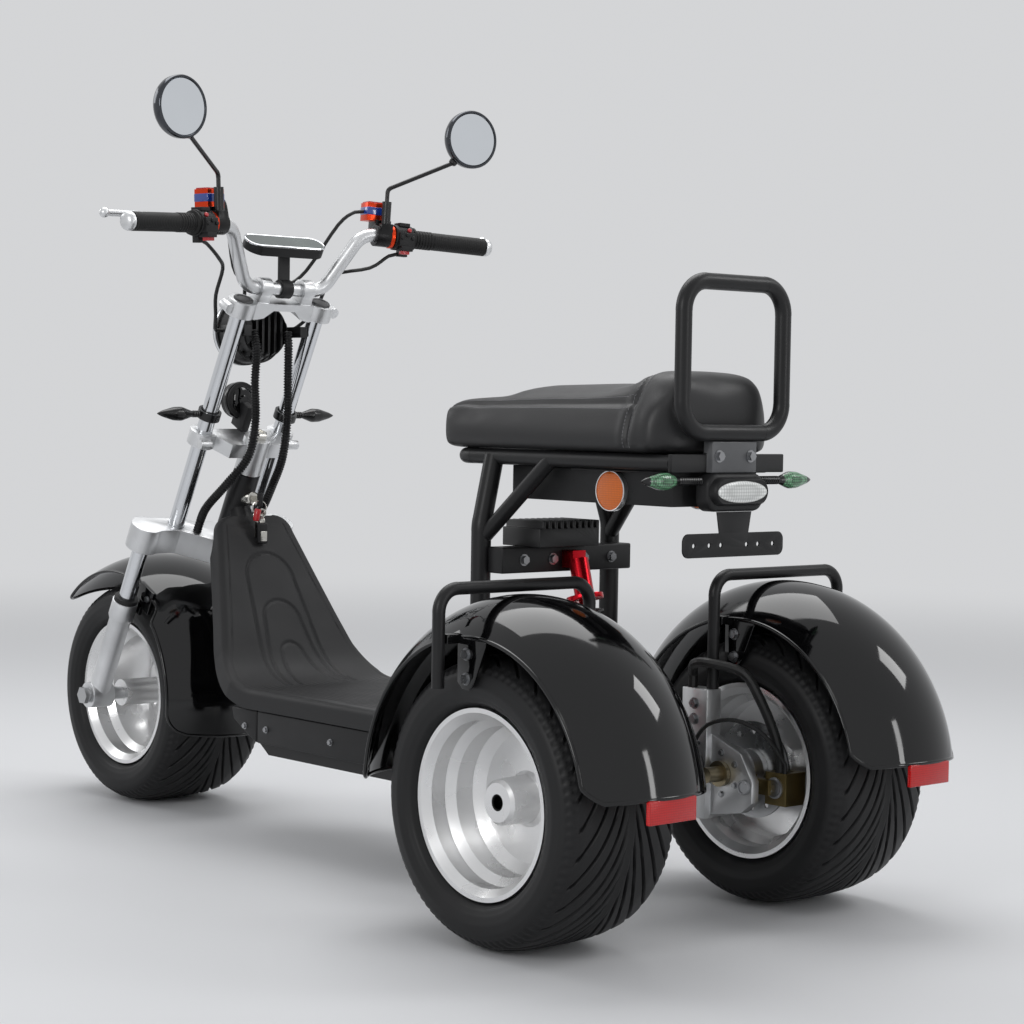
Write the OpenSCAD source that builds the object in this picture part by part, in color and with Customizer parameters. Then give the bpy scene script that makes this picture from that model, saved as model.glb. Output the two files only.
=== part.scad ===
// Three-wheeled electric scooter: a raked front fork, a low deck and two fat rear wheels.
// X points forward, Y to the left and Z up. Places are set from the rear axle and the floor.

/* [Wheels] */
// Outer radius of the tyres
tyre_r = 217; // [205:1:230]
// Width of the tyres
tyre_w = 225; // [210:1:235]
// Radius of the rim flanges
rim_r = 141; // [135:1:148]
// Width of the rims over their flanges
rim_w = 196; // [186:1:202]
// Radius of the wheel axles
axle_r = 12.5; // [10:0.5:14]
// Distance between the front axle and the rear axles
wheelbase = 1420; // [1380:5:1480]
// Distance from the centre line to the middle of a rear wheel
rear_wheel_y = 280; // [276:1:295]

/* [Fork] */
// Rake of the fork from the vertical
rake = 27; // [25:0.5:28]
// Radius of the upper fork tubes
upper_tube_r = 15.5; // [14:0.5:17]
// Distance from the centre line to an upper fork tube
upper_tube_y = 88; // [84:1:92]
// Radius of the lower stanchions
stanchion_r = 15.5; // [14:0.5:17]
// Radius of the sliders
slider_r = 21; // [20:0.5:23]
// Distance from the centre line to a lower fork leg
leg_y = 152; // [150:1:158]
// Radius of the steering stem
stem_r = 14; // [12:0.5:15]
// Distance of the steering axis behind the fork tubes
steer_offset = 50; // [48:1:56]

/* [Handlebar] */
// Radius of the handlebar tube
bar_r = 12.5; // [11:0.5:13.5]
// Distance from the centre line to a bar end
bar_half = 400; // [385:1:420]
// Height of the grips above the middle of the bar
bar_rise = 96; // [85:1:110]
// Setback of the bar ends behind the middle of the bar
bar_pull = 105; // [95:1:115]
// Radius of the grips
grip_r = 17; // [16:0.5:19]

/* [Deck] */
// Height of the floor mat
deck_z = 280; // [275:1:290]
// Half width of the floor mat
deck_half = 168; // [164:1:172]
// Thickness of the moulded mat
mat_t = 6; // [4:0.5:8]
// Slope of the leg shield from the floor
shield_angle = 62; // [58:1:64]
// Height of the leg shield's top
shield_top = 578; // [560:1:590]

/* [Seat] */
// Length of the seat
seat_len = 545; // [520:5:570]
// Half width of the seat
seat_half = 130; // [124:1:136]
// Height of the seat rail's middle
rail_z = 715; // [705:1:725]
// Radius of the seat rail and the backrest hoop
rail_r = 12.5; // [11:0.5:14]
// Distance from the centre line to the seat rail
rail_y = 110; // [104:1:114]
// Height of the backrest hoop over its tube's middle line
hoop_h = 225; // [200:5:250]
// Half width of the backrest hoop over its tube's middle line
hoop_half = 108; // [100:1:114]

/* [Fenders] */
// Radial room between a rear tyre and the crown of its fender
rear_fender_gap = 83; // [76:1:90]
// Radial room between the front tyre and the crown of its fender
front_fender_gap = 55; // [50:1:62]
// Thickness of the fender shells
fender_t = 3; // [2.5:0.5:4]
// Half width of a rear fender
rear_fender_half = 118; // [116:1:122]
// Radius of the guard hoops' tube
guard_r = 9.5; // [8:0.5:11]

/* [Hidden] */
// Room left between a piece and the round seat that carries it
seat_gap = 0.3;
// Radial clearance of a running fit
run_gap = 0.05;
$fn = 64;

// Colours of the finishes
satin_black = "#1b1b1c";
gloss_black = "#0c0c0d";
silver = "#c9cacc";
chrome = "#d8dadd";
rubber_black = "#161616";
leather_black = "#242424";
orange_red = "#d8451f";
lamp_orange = "#e8731c";
lamp_red = "#d01d1a";

// Wheel outline
bead_r = rim_r - 13;
drop_r = bead_r - 12;
rim_wall = 5;
flange_t = 8;
hub_r = 34;
rim_half = rim_w / 2;
tyre_half = tyre_w / 2;

// Fork stations, measured up the legs from the front axle
slider_top = 215;
seal_h = 8;
yoke_bottom = 335;
yoke_top = 385;
head_bottom = yoke_top + 2;
head_top = 526;
clamp_bottom = 560;
clamp_top = 588;
boss_bottom = head_top + 2;
boss_top = 600;
crown_bottom = 832;
crown_top = crown_bottom + 30;
bar_station = crown_top + 22;
bar_ahead = 7;
head_r = 26;
stem_top = boss_top - 2;

// Deck and frame places
shield_corner_x = wheelbase - 460;
shield_bend = 133;
mat_rear_x = 400;
mat_skirt = 34;
rail_tube_r = 14;
rail_tube_y = 126;
rail_tube_z = deck_z - mat_t - rail_tube_r - seat_gap;
post_x = 280;
post_y = 142;
post_r = 16;
post_foot_z = rail_tube_z + rail_tube_r + 1;
neck_r = 22;
neck_under = mat_t + neck_r + 3;

// Seat and tail places
seat_rear_x = -108;
seat_front_x = seat_rear_x + seat_len;
rail_end_x = -117;
hoop_x = -131;
hoop_bottom_z = rail_z + 46;
beam_z = 551;
beam_h = 42;
beam_d = 36;
beam_x = post_x - post_r - seat_gap - beam_d;

// Rear running gear places
carrier_in = 118;
carrier_out = 150;
nut_r = axle_r + 8;
carrier_x = nut_r + 3;
carrier_d = 55;
carrier_low = tyre_r - 76;
carrier_high = tyre_r + 132;
guard_x = 30;
guard_in_y = 137;
guard_out_y = 434;
guard_top_z = 2 * tyre_r + rear_fender_gap + fender_t + 11;

// The middle of the whole length, where the origin lies
rear_reach = -(tyre_r + rear_fender_gap);
front_reach = wheelbase + tyre_r;
x_mid = (front_reach + rear_reach) / 2;

function unit(v) = v / norm(v);
// Matrix with its origin at o and its axes along u, v and w
function axes_at(o, u, v, w) =
    [[u.x, v.x, w.x, o.x], [u.y, v.y, w.y, o.y], [u.z, v.z, w.z, o.z], [0, 0, 0, 1]];
function across(w) = unit(cross(abs(w.z) > 0.9 ? [1, 0, 0] : [0, 0, 1], w));
// Point on the fork: ahead of the tubes, to the left, and up from the front axle
function fork_at(ahead, y, up) = [
    wheelbase + ahead * cos(rake) - up * sin(rake), y, tyre_r + ahead * sin(rake) + up * cos(rake)];

module both_sides() {
    children();
    mirror([0, 1, 0]) children();
}

module on_fork() translate([wheelbase, 0, tyre_r]) rotate([0, -rake, 0]) children();

// Straight round bar from a to b
module rod(a, b, r) {
    w = unit(b - a);
    u = across(w);
    multmatrix(axes_at(a, u, cross(w, u), w)) cylinder(h = norm(b - a), r = r);
}

// An elbow stands this much proud of the straight runs, which reach a little way into it
elbow_proud = 0.2;
elbow_lap = 2;

// Round tube along points, with its corners bent to a radius
module bent_tube(p, r, bend) {
    last = len(p) - 1;
    way = [for (i = [0 : last - 1]) unit(p[i + 1] - p[i])];
    turn = [for (i = [1 : last - 1]) acos(way[i - 1] * way[i])];
    cut = [for (i = [0 : last]) i == 0 || i == last ? 0 : bend * tan(turn[i - 1] / 2)];
    stop = [for (i = [0 : last]) i == 0 || i == last ? 0 : cut[i] - elbow_lap];
    for (i = [0 : last - 1])
        rod(p[i] + way[i] * stop[i], p[i + 1] - way[i] * stop[i + 1], r);
    for (i = [1 : last - 1]) {
        w = unit(cross(way[i - 1], way[i]));
        inward = cross(w, way[i - 1]);
        start = p[i] - way[i - 1] * cut[i];
        multmatrix(axes_at(start + inward * bend, -inward, way[i - 1], w))
            rotate_extrude(angle = turn[i - 1]) translate([bend, 0]) circle(r + elbow_proud);
    }
}

// Point on a smooth line through p, at step t of the span that starts at point i
function on_line(p, i, t) = let (
        a = p[max(i - 1, 0)], b = p[i], c = p[i + 1], d = p[min(i + 2, len(p) - 1)])
    0.5 * (2 * b + (c - a) * t + (2 * a - 5 * b + 4 * c - d) * t * t + (3 * b - a - 3 * c + d) * t * t * t);
cord_steps = 4;
// The first and the last span stay straight, square to the faces that they meet
function smooth_line(p) = concat([p[0]],
    [for (i = [1 : len(p) - 3], k = [0 : cord_steps - 1]) on_line(p, i, k / cord_steps)],
    [p[len(p) - 2], p[len(p) - 1]]);

// Round cord in one skin along points; side_way is a direction that the line never takes
module cord(p, r, side_way, sides = 10) {
    last = len(p) - 1;
    ring = [for (i = [0 : last]) let (
            way = unit(p[min(i + 1, last)] - p[max(i - 1, 0)]),
            u = unit(cross(side_way, way)),
            v = cross(way, u))
        for (k = [0 : sides - 1]) p[i] + r * (u * cos(k * 360 / sides) + v * sin(k * 360 / sides))];
    skin = [for (i = [0 : last - 1], k = [0 : sides - 1]) let (n = (k + 1) % sides)
        for (tri = [[i * sides + k, (i + 1) * sides + k, (i + 1) * sides + n],
            [i * sides + k, (i + 1) * sides + n, i * sides + n]]) tri];
    polyhedron(ring, concat(skin, [[for (k = [0 : sides - 1]) k]],
        [[for (k = [sides - 1 : -1 : 0]) last * sides + k]]));
}

// Wheels

// Tyre section: share of the section height, share of the half width
tyre_section = [[0.09, 0.9], [0.25, 0.975], [0.42, 1], [0.62, 0.98], [0.79, 0.905], [0.91, 0.77], [0.975, 0.53],
    [1, 0.2]];

module tyre() {
    bead_z = rim_half - flange_t - seat_gap;
    wall = 10;
    outer = concat(
        [[bead_r + seat_gap, bead_z], [rim_r + seat_gap, bead_z]],
        [for (s = tyre_section) [rim_r + s[0] * (tyre_r - rim_r), s[1] * tyre_half]]);
    inner = [[tyre_r - wall, 0.5 * tyre_half], [rim_r + 0.42 * (tyre_r - rim_r), tyre_half - wall],
        [rim_r, bead_z - wall],
        [bead_r + seat_gap, bead_z - wall]];
    half_loop = concat(outer, [for (i = [len(outer) - 1 : -1 : 0]) [outer[i][0], -outer[i][1]]]);
    back_loop = concat([for (i = [len(inner) - 1 : -1 : 0]) [inner[i][0], -inner[i][1]]], inner);
    color(rubber_black) rotate([-90, 0, 0]) rotate_extrude($fn = 96) polygon(concat(half_loop, back_loop));
}

// Outside of the rim barrel, from its +Z flange to its -Z flange
function barrel_outside() = [
    [rim_r, rim_half], [rim_r, rim_half - flange_t], [bead_r, rim_half - flange_t], [bead_r, rim_half - 36],
    [drop_r, rim_half - 48], [drop_r, 48 - rim_half], [bead_r, 36 - rim_half], [bead_r, flange_t - rim_half],
    [rim_r, flange_t - rim_half], [rim_r, -rim_half]];

hub_out = 63;
hub_in = -88;

// Dished rear rim: a solid disc with a hub, deep on its outer side
module rear_rim() {
    disc_z = 6;
    inside = [
        [rim_r - 7, -rim_half], [bead_r - rim_wall, 12 - rim_half], [bead_r - rim_wall, 38 - rim_half],
        [drop_r - rim_wall, 50 - rim_half], [drop_r - rim_wall, -22], [hub_r + 6, -16], [hub_r, -20],
        [hub_r, hub_in], [axle_r + run_gap, hub_in], [axle_r + run_gap, hub_out], [hub_r - 5, hub_out],
        [hub_r, hub_out - 5], [hub_r + 2, disc_z + 4], [hub_r + 8, disc_z - 2], [drop_r - 20, disc_z - 4],
        [drop_r - rim_wall, disc_z + 10], [drop_r - rim_wall, rim_half - 50], [bead_r - rim_wall, rim_half - 38],
        [bead_r - rim_wall, rim_half - 12], [rim_r - 7, rim_half]];
    color(silver) rotate([-90, 0, 0]) rotate_extrude($fn = 96) polygon(concat(barrel_outside(), inside));
}

// Front rim: an open barrel on five spokes, with a long hub tube
front_hub_r = 26;
front_hub_half = 100;
spoke_count = 5;
module front_rim() {
    spoke_z = -52;
    spoke_t = 16;
    inside = [
        [rim_r - 7, -rim_half], [bead_r - rim_wall, 12 - rim_half], [bead_r - rim_wall, 38 - rim_half],
        [drop_r - rim_wall, 50 - rim_half], [drop_r - rim_wall, rim_half - 50],
        [bead_r - rim_wall, rim_half - 38], [bead_r - rim_wall, rim_half - 12], [rim_r - 7, rim_half]];
    color(silver) rotate([-90, 0, 0]) {
        rotate_extrude($fn = 96) polygon(concat(barrel_outside(), inside));
        difference() {
            translate([0, 0, spoke_z]) cylinder(h = spoke_t, r = drop_r - rim_wall / 2);
            translate([0, 0, spoke_z - 1]) cylinder(h = spoke_t + 2, r = front_hub_r - 4);
            for (i = [0 : spoke_count - 1]) rotate([0, 0, i * 360 / spoke_count])
                translate([0, 0, spoke_z - 1]) linear_extrude(spoke_t + 2)
                    polygon([[front_hub_r + 16, -8], [front_hub_r + 16, 8], [drop_r - 28, 44],
                        [drop_r - 14, 30], [drop_r - 14, -30], [drop_r - 28, -44]]);
        }
        difference() {
            translate([0, 0, -front_hub_half]) cylinder(h = 2 * front_hub_half, r = front_hub_r);
            translate([0, 0, -front_hub_half - 1]) cylinder(h = 2 * front_hub_half + 2, r = axle_r + run_gap);
        }
    }
}

// Brake disc on the inner end of a rear hub
disc_r = 78;
disc_t = 4;
disc_z = -78;
module brake_disc() {
    color(silver) rotate([-90, 0, 0]) translate([0, 0, disc_z]) difference() {
        cylinder(h = disc_t, r = disc_r);
        translate([0, 0, -1]) cylinder(h = disc_t + 2, r = hub_r + seat_gap);
        for (i = [0 : 11]) rotate([0, 0, i * 30]) translate([disc_r - 16, 0, -1]) cylinder(h = disc_t + 2, r = 5);
    }
}

module at_left_wheel() translate([0, rear_wheel_y, tyre_r]) children();
module at_right_wheel() mirror([0, 1, 0]) at_left_wheel() children();
module at_front_wheel() translate([wheelbase, 0, tyre_r]) children();

module rear_left_rim() at_left_wheel() rear_rim();
module rear_left_tyre() at_left_wheel() tyre();
module rear_left_disc() at_left_wheel() brake_disc();
module rear_right_rim() at_right_wheel() rear_rim();
module rear_right_tyre() at_right_wheel() tyre();
module rear_right_disc() at_right_wheel() brake_disc();
module front_wheel_rim() at_front_wheel() front_rim();
module front_tyre() at_front_wheel() tyre();

// Fork and steering

module fork_pair(y) both_sides() on_fork() translate([0, y, 0]) children();

module upper_fork_tubes() {
    color(chrome) fork_pair(upper_tube_y) translate([0, 0, yoke_bottom + 12])
        cylinder(h = crown_top - yoke_bottom - 12, r = upper_tube_r);
}

module fork_stanchions() {
    color(chrome) fork_pair(leg_y) translate([0, 0, slider_top])
        cylinder(h = yoke_top - 6 - slider_top, r = stanchion_r);
}

module fork_seals() {
    color(rubber_black) fork_pair(leg_y) translate([0, 0, slider_top]) difference() {
        cylinder(h = seal_h, r = slider_r + 2);
        translate([0, 0, -1]) cylinder(h = seal_h + 2, r = stanchion_r + seat_gap);
    }
}

module fork_sliders() {
    collar_h = 34;
    boss_w = 2 * slider_r + 4;
    color(silver) fork_pair(leg_y) difference() {
        union() {
            cylinder(h = slider_top, r = slider_r);
            translate([0, 0, slider_top - collar_h]) cylinder(h = collar_h, r = slider_r + 4);
            translate([0, 0, slider_top - collar_h - 10]) cylinder(h = 10, r1 = slider_r, r2 = slider_r + 4);
            rotate([90, 0, 0]) translate([0, 0, -boss_w / 2]) cylinder(h = boss_w, r = axle_r + 13);
        }
        rotate([90, 0, 0]) translate([0, 0, -boss_w]) cylinder(h = 2 * boss_w, r = axle_r + seat_gap);
    }
}

module front_axle() {
    reach = leg_y + slider_r + 8;
    color(chrome) translate([wheelbase, 0, tyre_r]) rotate([90, 0, 0]) {
        translate([0, 0, -reach]) cylinder(h = 2 * reach, r = axle_r);
        both_ends(reach) cylinder(h = 8, r = axle_r + 5, $fn = 6);
    }
}

module both_ends(reach) {
    translate([0, 0, reach]) children();
    mirror([0, 0, 1]) translate([0, 0, reach]) children();
}

// Cast yoke: it widens from the upper tubes to the lower legs and carries the stem
module lower_yoke() {
    tube_boss = upper_tube_r + 13;
    leg_boss = stanchion_r + 16;
    height = yoke_top - yoke_bottom;
    color(silver) on_fork() difference() {
        union() {
            translate([0, 0, yoke_bottom]) linear_extrude(height) {
                polygon([
                    [-steer_offset - 30, -22], [-steer_offset - 30, 22], [-tube_boss + 3, upper_tube_y + 8],
                    [-leg_boss + 4, leg_y], [leg_boss - 4, leg_y], [tube_boss - 2, upper_tube_y - 8],
                    [8, 40], [8, -40], [tube_boss - 2, 8 - upper_tube_y],
                    [leg_boss - 4, -leg_y], [4 - leg_boss, -leg_y], [3 - tube_boss, -upper_tube_y - 8]]);
                translate([-steer_offset, 0]) circle(stem_r + 21);
                for (side = [-1, 1]) {
                    translate([0, side * upper_tube_y]) circle(tube_boss);
                    translate([0, side * leg_y]) circle(leg_boss);
                }
            }
            translate([-steer_offset, 0, yoke_top - 1]) cylinder(h = stem_top - yoke_top + 1, r = stem_r);
        }
        for (side = [-1, 1]) {
            translate([0, side * upper_tube_y, yoke_bottom + 12])
                cylinder(h = height, r = upper_tube_r + seat_gap);
            translate([0, side * leg_y, yoke_bottom - 1])
                cylinder(h = height - 5 + seat_gap, r = stanchion_r + seat_gap);
        }
    }
}

// Ring clamps on both upper tubes, joined by a web
module clamp_outline(ring, web_front, web_rear) {
    for (side = [-1, 1]) translate([0, side * upper_tube_y]) circle(ring);
    polygon([[web_front, -upper_tube_y], [web_front, upper_tube_y],
        [web_rear, upper_tube_y - 30], [web_rear, 30 - upper_tube_y]]);
}

module tube_bores(bottom, top) {
    for (side = [-1, 1]) translate([0, side * upper_tube_y, bottom - 1])
        cylinder(h = top - bottom + 2, r = upper_tube_r + seat_gap);
}

module middle_clamp() {
    ring = upper_tube_r + 11;
    middle = (clamp_bottom + clamp_top) / 2;
    color(silver) on_fork() difference() {
        union() {
            translate([0, 0, clamp_bottom]) linear_extrude(clamp_top - clamp_bottom)
                clamp_outline(ring, 8, -steer_offset - 8);
            translate([-steer_offset, 0, boss_bottom]) cylinder(h = boss_top - boss_bottom, r = stem_r + 12);
            for (side = [-1, 1]) translate([-ring - 4, side * (upper_tube_y + 12), middle]) rotate([90, 0, 0])
                cylinder(h = 24, r = 9, center = true);
        }
        tube_bores(clamp_bottom, clamp_top);
        translate([-steer_offset, 0, boss_bottom - 1])
            cylinder(h = boss_top - boss_bottom - 7, r = stem_r + seat_gap);
        translate([-steer_offset, 0, stem_top - 10]) cylinder(h = 10 + seat_gap, r = stem_r + seat_gap);
    }
}

riser_y = 48;
riser_w = 24;
module top_clamp() {
    ring = upper_tube_r + 12;
    ear_r = 10;
    arch = 16;
    middle = (crown_bottom + crown_top) / 2;
    color(silver) on_fork() difference() {
        union() {
            for (side = [-1, 1]) {
                translate([0, side * upper_tube_y, crown_bottom]) cylinder(h = crown_top - crown_bottom, r = ring);
                translate([-12, side * (upper_tube_y + ring + 3), middle]) rotate([0, 90, 0])
                    cylinder(h = 26, r = ear_r);
                translate([bar_ahead, side * riser_y, crown_top - 1]) {
                    translate([-17, -riser_w / 2, 0]) cube([34, riser_w, bar_station - crown_top + 1]);
                    translate([0, riser_w / 2, bar_station - crown_top + 1]) rotate([90, 0, 0])
                        cylinder(h = riser_w, r = bar_r + 7.5);
                }
            }
            translate([-15, 0, 0]) rotate([90, 0, 90]) linear_extrude(36) polygon([
                [-upper_tube_y, crown_bottom + 3], [-riser_y - 14, crown_bottom - 4], [-riser_y + 6, crown_bottom],
                [-24, crown_bottom + arch], [24, crown_bottom + arch], [riser_y - 6, crown_bottom],
                [riser_y + 14, crown_bottom - 4], [upper_tube_y, crown_bottom + 3], [upper_tube_y, crown_top - 3],
                [riser_y + 14, crown_top], [-riser_y - 14, crown_top], [-upper_tube_y, crown_top - 3]]);
        }
        tube_bores(crown_bottom - 6, crown_top);
        translate([bar_ahead, 0, bar_station]) rotate([90, 0, 0])
            cylinder(h = 4 * riser_y, r = bar_r + seat_gap, center = true);
    }
}

// Handlebar line on the left: the clamped middle, the rise and the swept end
bar_mid = fork_at(bar_ahead, 0, bar_station);
bar_foot = bar_mid + [0, 87, 0];
bar_top = bar_mid + [-bar_pull * 0.42, 150, bar_rise + 14];
bar_end = bar_mid + [-bar_pull, bar_half, bar_rise];
bar_way = unit(bar_end - bar_top);
bar_reach = norm(bar_end - bar_top);
bar_bend = 42;

module handlebar() {
    line = [bar_end, bar_top, bar_foot];
    mirrored = [for (p = line) [p.x, -p.y, p.z]];
    color(silver) bent_tube(concat(line, [for (i = [2 : -1 : 0]) mirrored[i]]), bar_r, bar_bend);
}

// Pieces on the bar are placed along its swept end, from the upper bend outwards.
// There X points ahead, Y down and Z out along the bar.
bar_ahead_way = unit(cross(bar_way, [0, 0, 1]));
bar_up_way = cross(bar_ahead_way, bar_way);
module on_bar(along) both_sides()
    multmatrix(axes_at(bar_top + bar_way * along, bar_ahead_way, -bar_up_way, bar_way)) children();
function bar_at(along, ahead, up) = bar_top + bar_way * along + bar_ahead_way * ahead + bar_up_way * up;

module sleeve(h, r, hole) difference() {
    cylinder(h = h, r = r);
    translate([0, 0, -1]) cylinder(h = h + 2, r = hole);
}

grip_from = 100;
module grips() color(rubber_black) on_bar(grip_from) {
    sleeve(bar_reach - grip_from, grip_r, bar_r + seat_gap);
    sleeve(5, grip_r + 5, bar_r + seat_gap);
    translate([0, 0, bar_reach - grip_from + seat_gap]) cylinder(h = 8, r1 = grip_r, r2 = grip_r - 4);
}

pod_from = 62;
module switch_pods() color(satin_black) on_bar(pod_from) {
    sleeve(grip_from - pod_from - 1, grip_r + 7, bar_r + seat_gap);
}

perch_from = 24;
perch_w = 36;
perch_top = bar_r + 10;
module master_cylinders() color(orange_red) on_bar(perch_from) {
    difference() {
        union() {
            cylinder(h = perch_w, r = bar_r + 8);
            translate([-20, -perch_top, 6]) cube([20, perch_top, perch_w - 12]);
            translate([0, -30, 2]) cube([34, 30, perch_w - 4]);
            translate([6, -62, -14]) cube([32, 34, 44]);
        }
        translate([0, 0, -20]) cylinder(h = 80, r = bar_r + seat_gap);
    }
}

module brake_levers() {
    pivot = bar_at(perch_from + perch_w - 10, 34 + 6 + seat_gap, 14);
    elbow = bar_at(130, 56, 14);
    tip = bar_at(bar_reach + 18, 44, 16);
    color(chrome) both_sides() {
        bent_tube([pivot, elbow, tip], 6, 60);
        translate(tip) sphere(9);
    }
}

mirror_r = 55;
mirror_at = bar_mid + [-147, 328, 295];
boot_h = 42;
module mirror_stems() {
    seat = bar_at(perch_from + perch_w / 2, -10, perch_top);
    edge = unit([0.15, -0.56, -0.83]);
    neck = mirror_at + [8, 0, 0] + edge * (mirror_r + 1);
    color(satin_black) both_sides() {
        rod(seat, seat + bar_up_way * boot_h, 9);
        bent_tube([seat + bar_up_way * (boot_h - 1), seat + bar_up_way * (boot_h + 24), neck], 4, 12);
    }
}

module mirror_heads() {
    color(chrome) both_sides() translate(mirror_at) rotate([0, -90, 8]) translate([0, 0, -16]) {
        cylinder(h = 6, r1 = mirror_r - 10, r2 = mirror_r);
        translate([0, 0, 6]) cylinder(h = 10, r = mirror_r);
    }
}

display_lean = 30;
module display() {
    color(satin_black) translate(bar_mid + [6, 0, 72]) rotate([0, -display_lean, 0]) {
        linear_extrude(18) {
            square([56, 130], center = true);
            for (side = [-1, 1]) translate([0, side * 58]) circle(28);
        }
    }
    color(satin_black) translate(bar_mid) {
        translate([-3, -12, bar_r + 2]) cube([6, 24, 62]);
        rotate([90, 0, 0]) translate([0, 0, -12]) sleeve(24, bar_r + 5, bar_r + seat_gap);
    }
}

lamp_r = 60;
lamp_station = crown_bottom - 32;
lamp_back_x = fork_at(0, 0, lamp_station).x + 12;
lamp_z = fork_at(0, 0, lamp_station).z;
module headlamp() {
    arm_y = upper_tube_y - upper_tube_r - seat_gap;
    fin_pitch = 14;
    color(satin_black) {
        translate([lamp_back_x, 0, lamp_z]) rotate([0, 90, 0]) {
            translate([0, 0, 14]) cylinder(h = 30, r = lamp_r - 10);
            intersection() {
                cylinder(h = 40, r1 = lamp_r - 18, r2 = lamp_r - 2);
                for (i = [-3 : 3]) translate([-lamp_r, i * fin_pitch - 2.5, 0]) cube([2 * lamp_r, 5, 40]);
            }
            translate([0, 0, 38]) cylinder(h = 50, r = lamp_r);
            translate([0, 0, 80]) cylinder(h = 14, r = lamp_r + 4);
        }
        for (side = [-1, 1]) translate([lamp_back_x - 22, side * (arm_y - 8) - 8, lamp_z - 10]) cube([70, 16, 20]);
    }
}

module horn() {
    spot = fork_at(26, 0, 640);
    color(satin_black) translate(spot) rotate([0, 90, 0]) cylinder(h = 26, r = 34);
    color(satin_black) on_fork() translate([-6, -8, clamp_top]) cube([38, 16, 640 - clamp_top]);
}

module front_indicators() {
    station = 615;
    ring = upper_tube_r + 5;
    color(satin_black) fork_pair(upper_tube_y) {
        difference() {
            union() {
                translate([0, 0, station]) cylinder(h = 16, r = ring);
                translate([0, ring - 2, station + 8]) rotate([-90, 0, 0]) cylinder(h = 22, r = 6);
            }
            translate([0, 0, station - 1]) cylinder(h = 18, r = upper_tube_r + seat_gap);
        }
        translate([0, ring + 18, station + 8]) rotate([-90, 0, 0]) rotate_extrude()
            polygon([[0, 0], [7, 0], [14, 24], [13, 40], [7, 62], [0, 76]]);
    }
}

// Corrugated looms down the back of the fork: ahead, left and up on the fork
loom_r = 8.5;
left_loom = [[-14, 36, 770], [-36, 34, 710], [-62, 26, 640], [-80, 32, 575], [-68, 52, 510],
    [-46, 64, 450], [-30, 58, 410], [-30, 58, yoke_top + seat_gap]];
right_loom = [[-16, -32, 780], [-40, -36, 720], [-66, -42, 650], [-82, -46, 575], [-76, -48, 510],
    [-62, -52, 450], [-34, -58, 410], [-34, -58, yoke_top + seat_gap]];
module wiring_looms() {
    color(rubber_black) for (route = [left_loom, right_loom])
        cord(smooth_line(concat([for (off = [0.5, 14]) [lamp_back_x - off, route[0][1], lamp_z]],
            [for (p = route) fork_at(p[0], p[1], p[2])])), loom_r, [0, 1, 0]);
}

// Thin cables from the bar to the headlamp: one off each switch pod, one off each reservoir
cable_r = 3.5;
module control_cables() {
    pod_low = -(grip_r + 7 + cable_r + seat_gap);
    from_pod = [bar_at(84, 2, pod_low), bar_at(60, 6, pod_low - 8), bar_at(24, 10, pod_low - 34),
        fork_at(36, 126, 905), fork_at(42, 120, 850), fork_at(46, 104, 806), [lamp_back_x + 58, lamp_r + 22, lamp_z],
        [lamp_back_x + 58, lamp_r + 0.5, lamp_z]];
    from_jar = [bar_at(perch_from - 15, 22, 45), bar_at(-8, 24, 42), bar_at(-34, 40, 16), bar_mid + [44, 84, 40],
        bar_mid + [62, 48, 10], [lamp_back_x + 60, 16, lamp_z + lamp_r + 16],
        [lamp_back_x + 60, 16, lamp_z + lamp_r + 0.5]];
    color(rubber_black) both_sides() {
        cord(smooth_line(from_pod), cable_r, [1, 0, 0.1], 8);
        cord(smooth_line(from_jar), cable_r, [1, 0, 0.1], 8);
    }
}

// Shell of revolution over a wheel, from one angle to another, measured forward from the top
module fender_shell(crown, arch, half, from, to) {
    rotate([90, 0, 0]) rotate([0, 0, 90 - from]) rotate_extrude(angle = from - to, $fn = 96)
        intersection() {
            translate([crown - arch, 0]) difference() {
                circle(arch);
                circle(arch - fender_t);
            }
            translate([crown - arch / 2, -half]) square([arch, 2 * half]);
        }
}

front_fender_r = tyre_r + front_fender_gap + fender_t;
front_fender_arch = 233;
front_fender_half = 119;
front_edge_r = front_fender_r - front_fender_arch + sqrt(front_fender_arch ^ 2 - front_fender_half ^ 2);
module front_fender() {
    color(gloss_black) translate([wheelbase, 0, tyre_r]) {
        fender_shell(front_fender_r, front_fender_arch, front_fender_half, 46, -103);
        fender_shell(front_fender_r, front_fender_arch, front_fender_half + 20, -44, -103);
    }
    reach = leg_y - slider_r - 4 - seat_gap;
    color(gloss_black) both_sides() on_fork() {
        translate([-40, front_fender_half - 4, slider_top - 10]) cube([50, 8, front_edge_r + 22 - slider_top]);
        translate([-12, front_fender_half - 4, slider_top - 28]) cube([22, 8, 26]);
        translate([-6, front_fender_half, slider_top - 24]) cube([12, reach - front_fender_half, 16]);
    }
}

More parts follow.
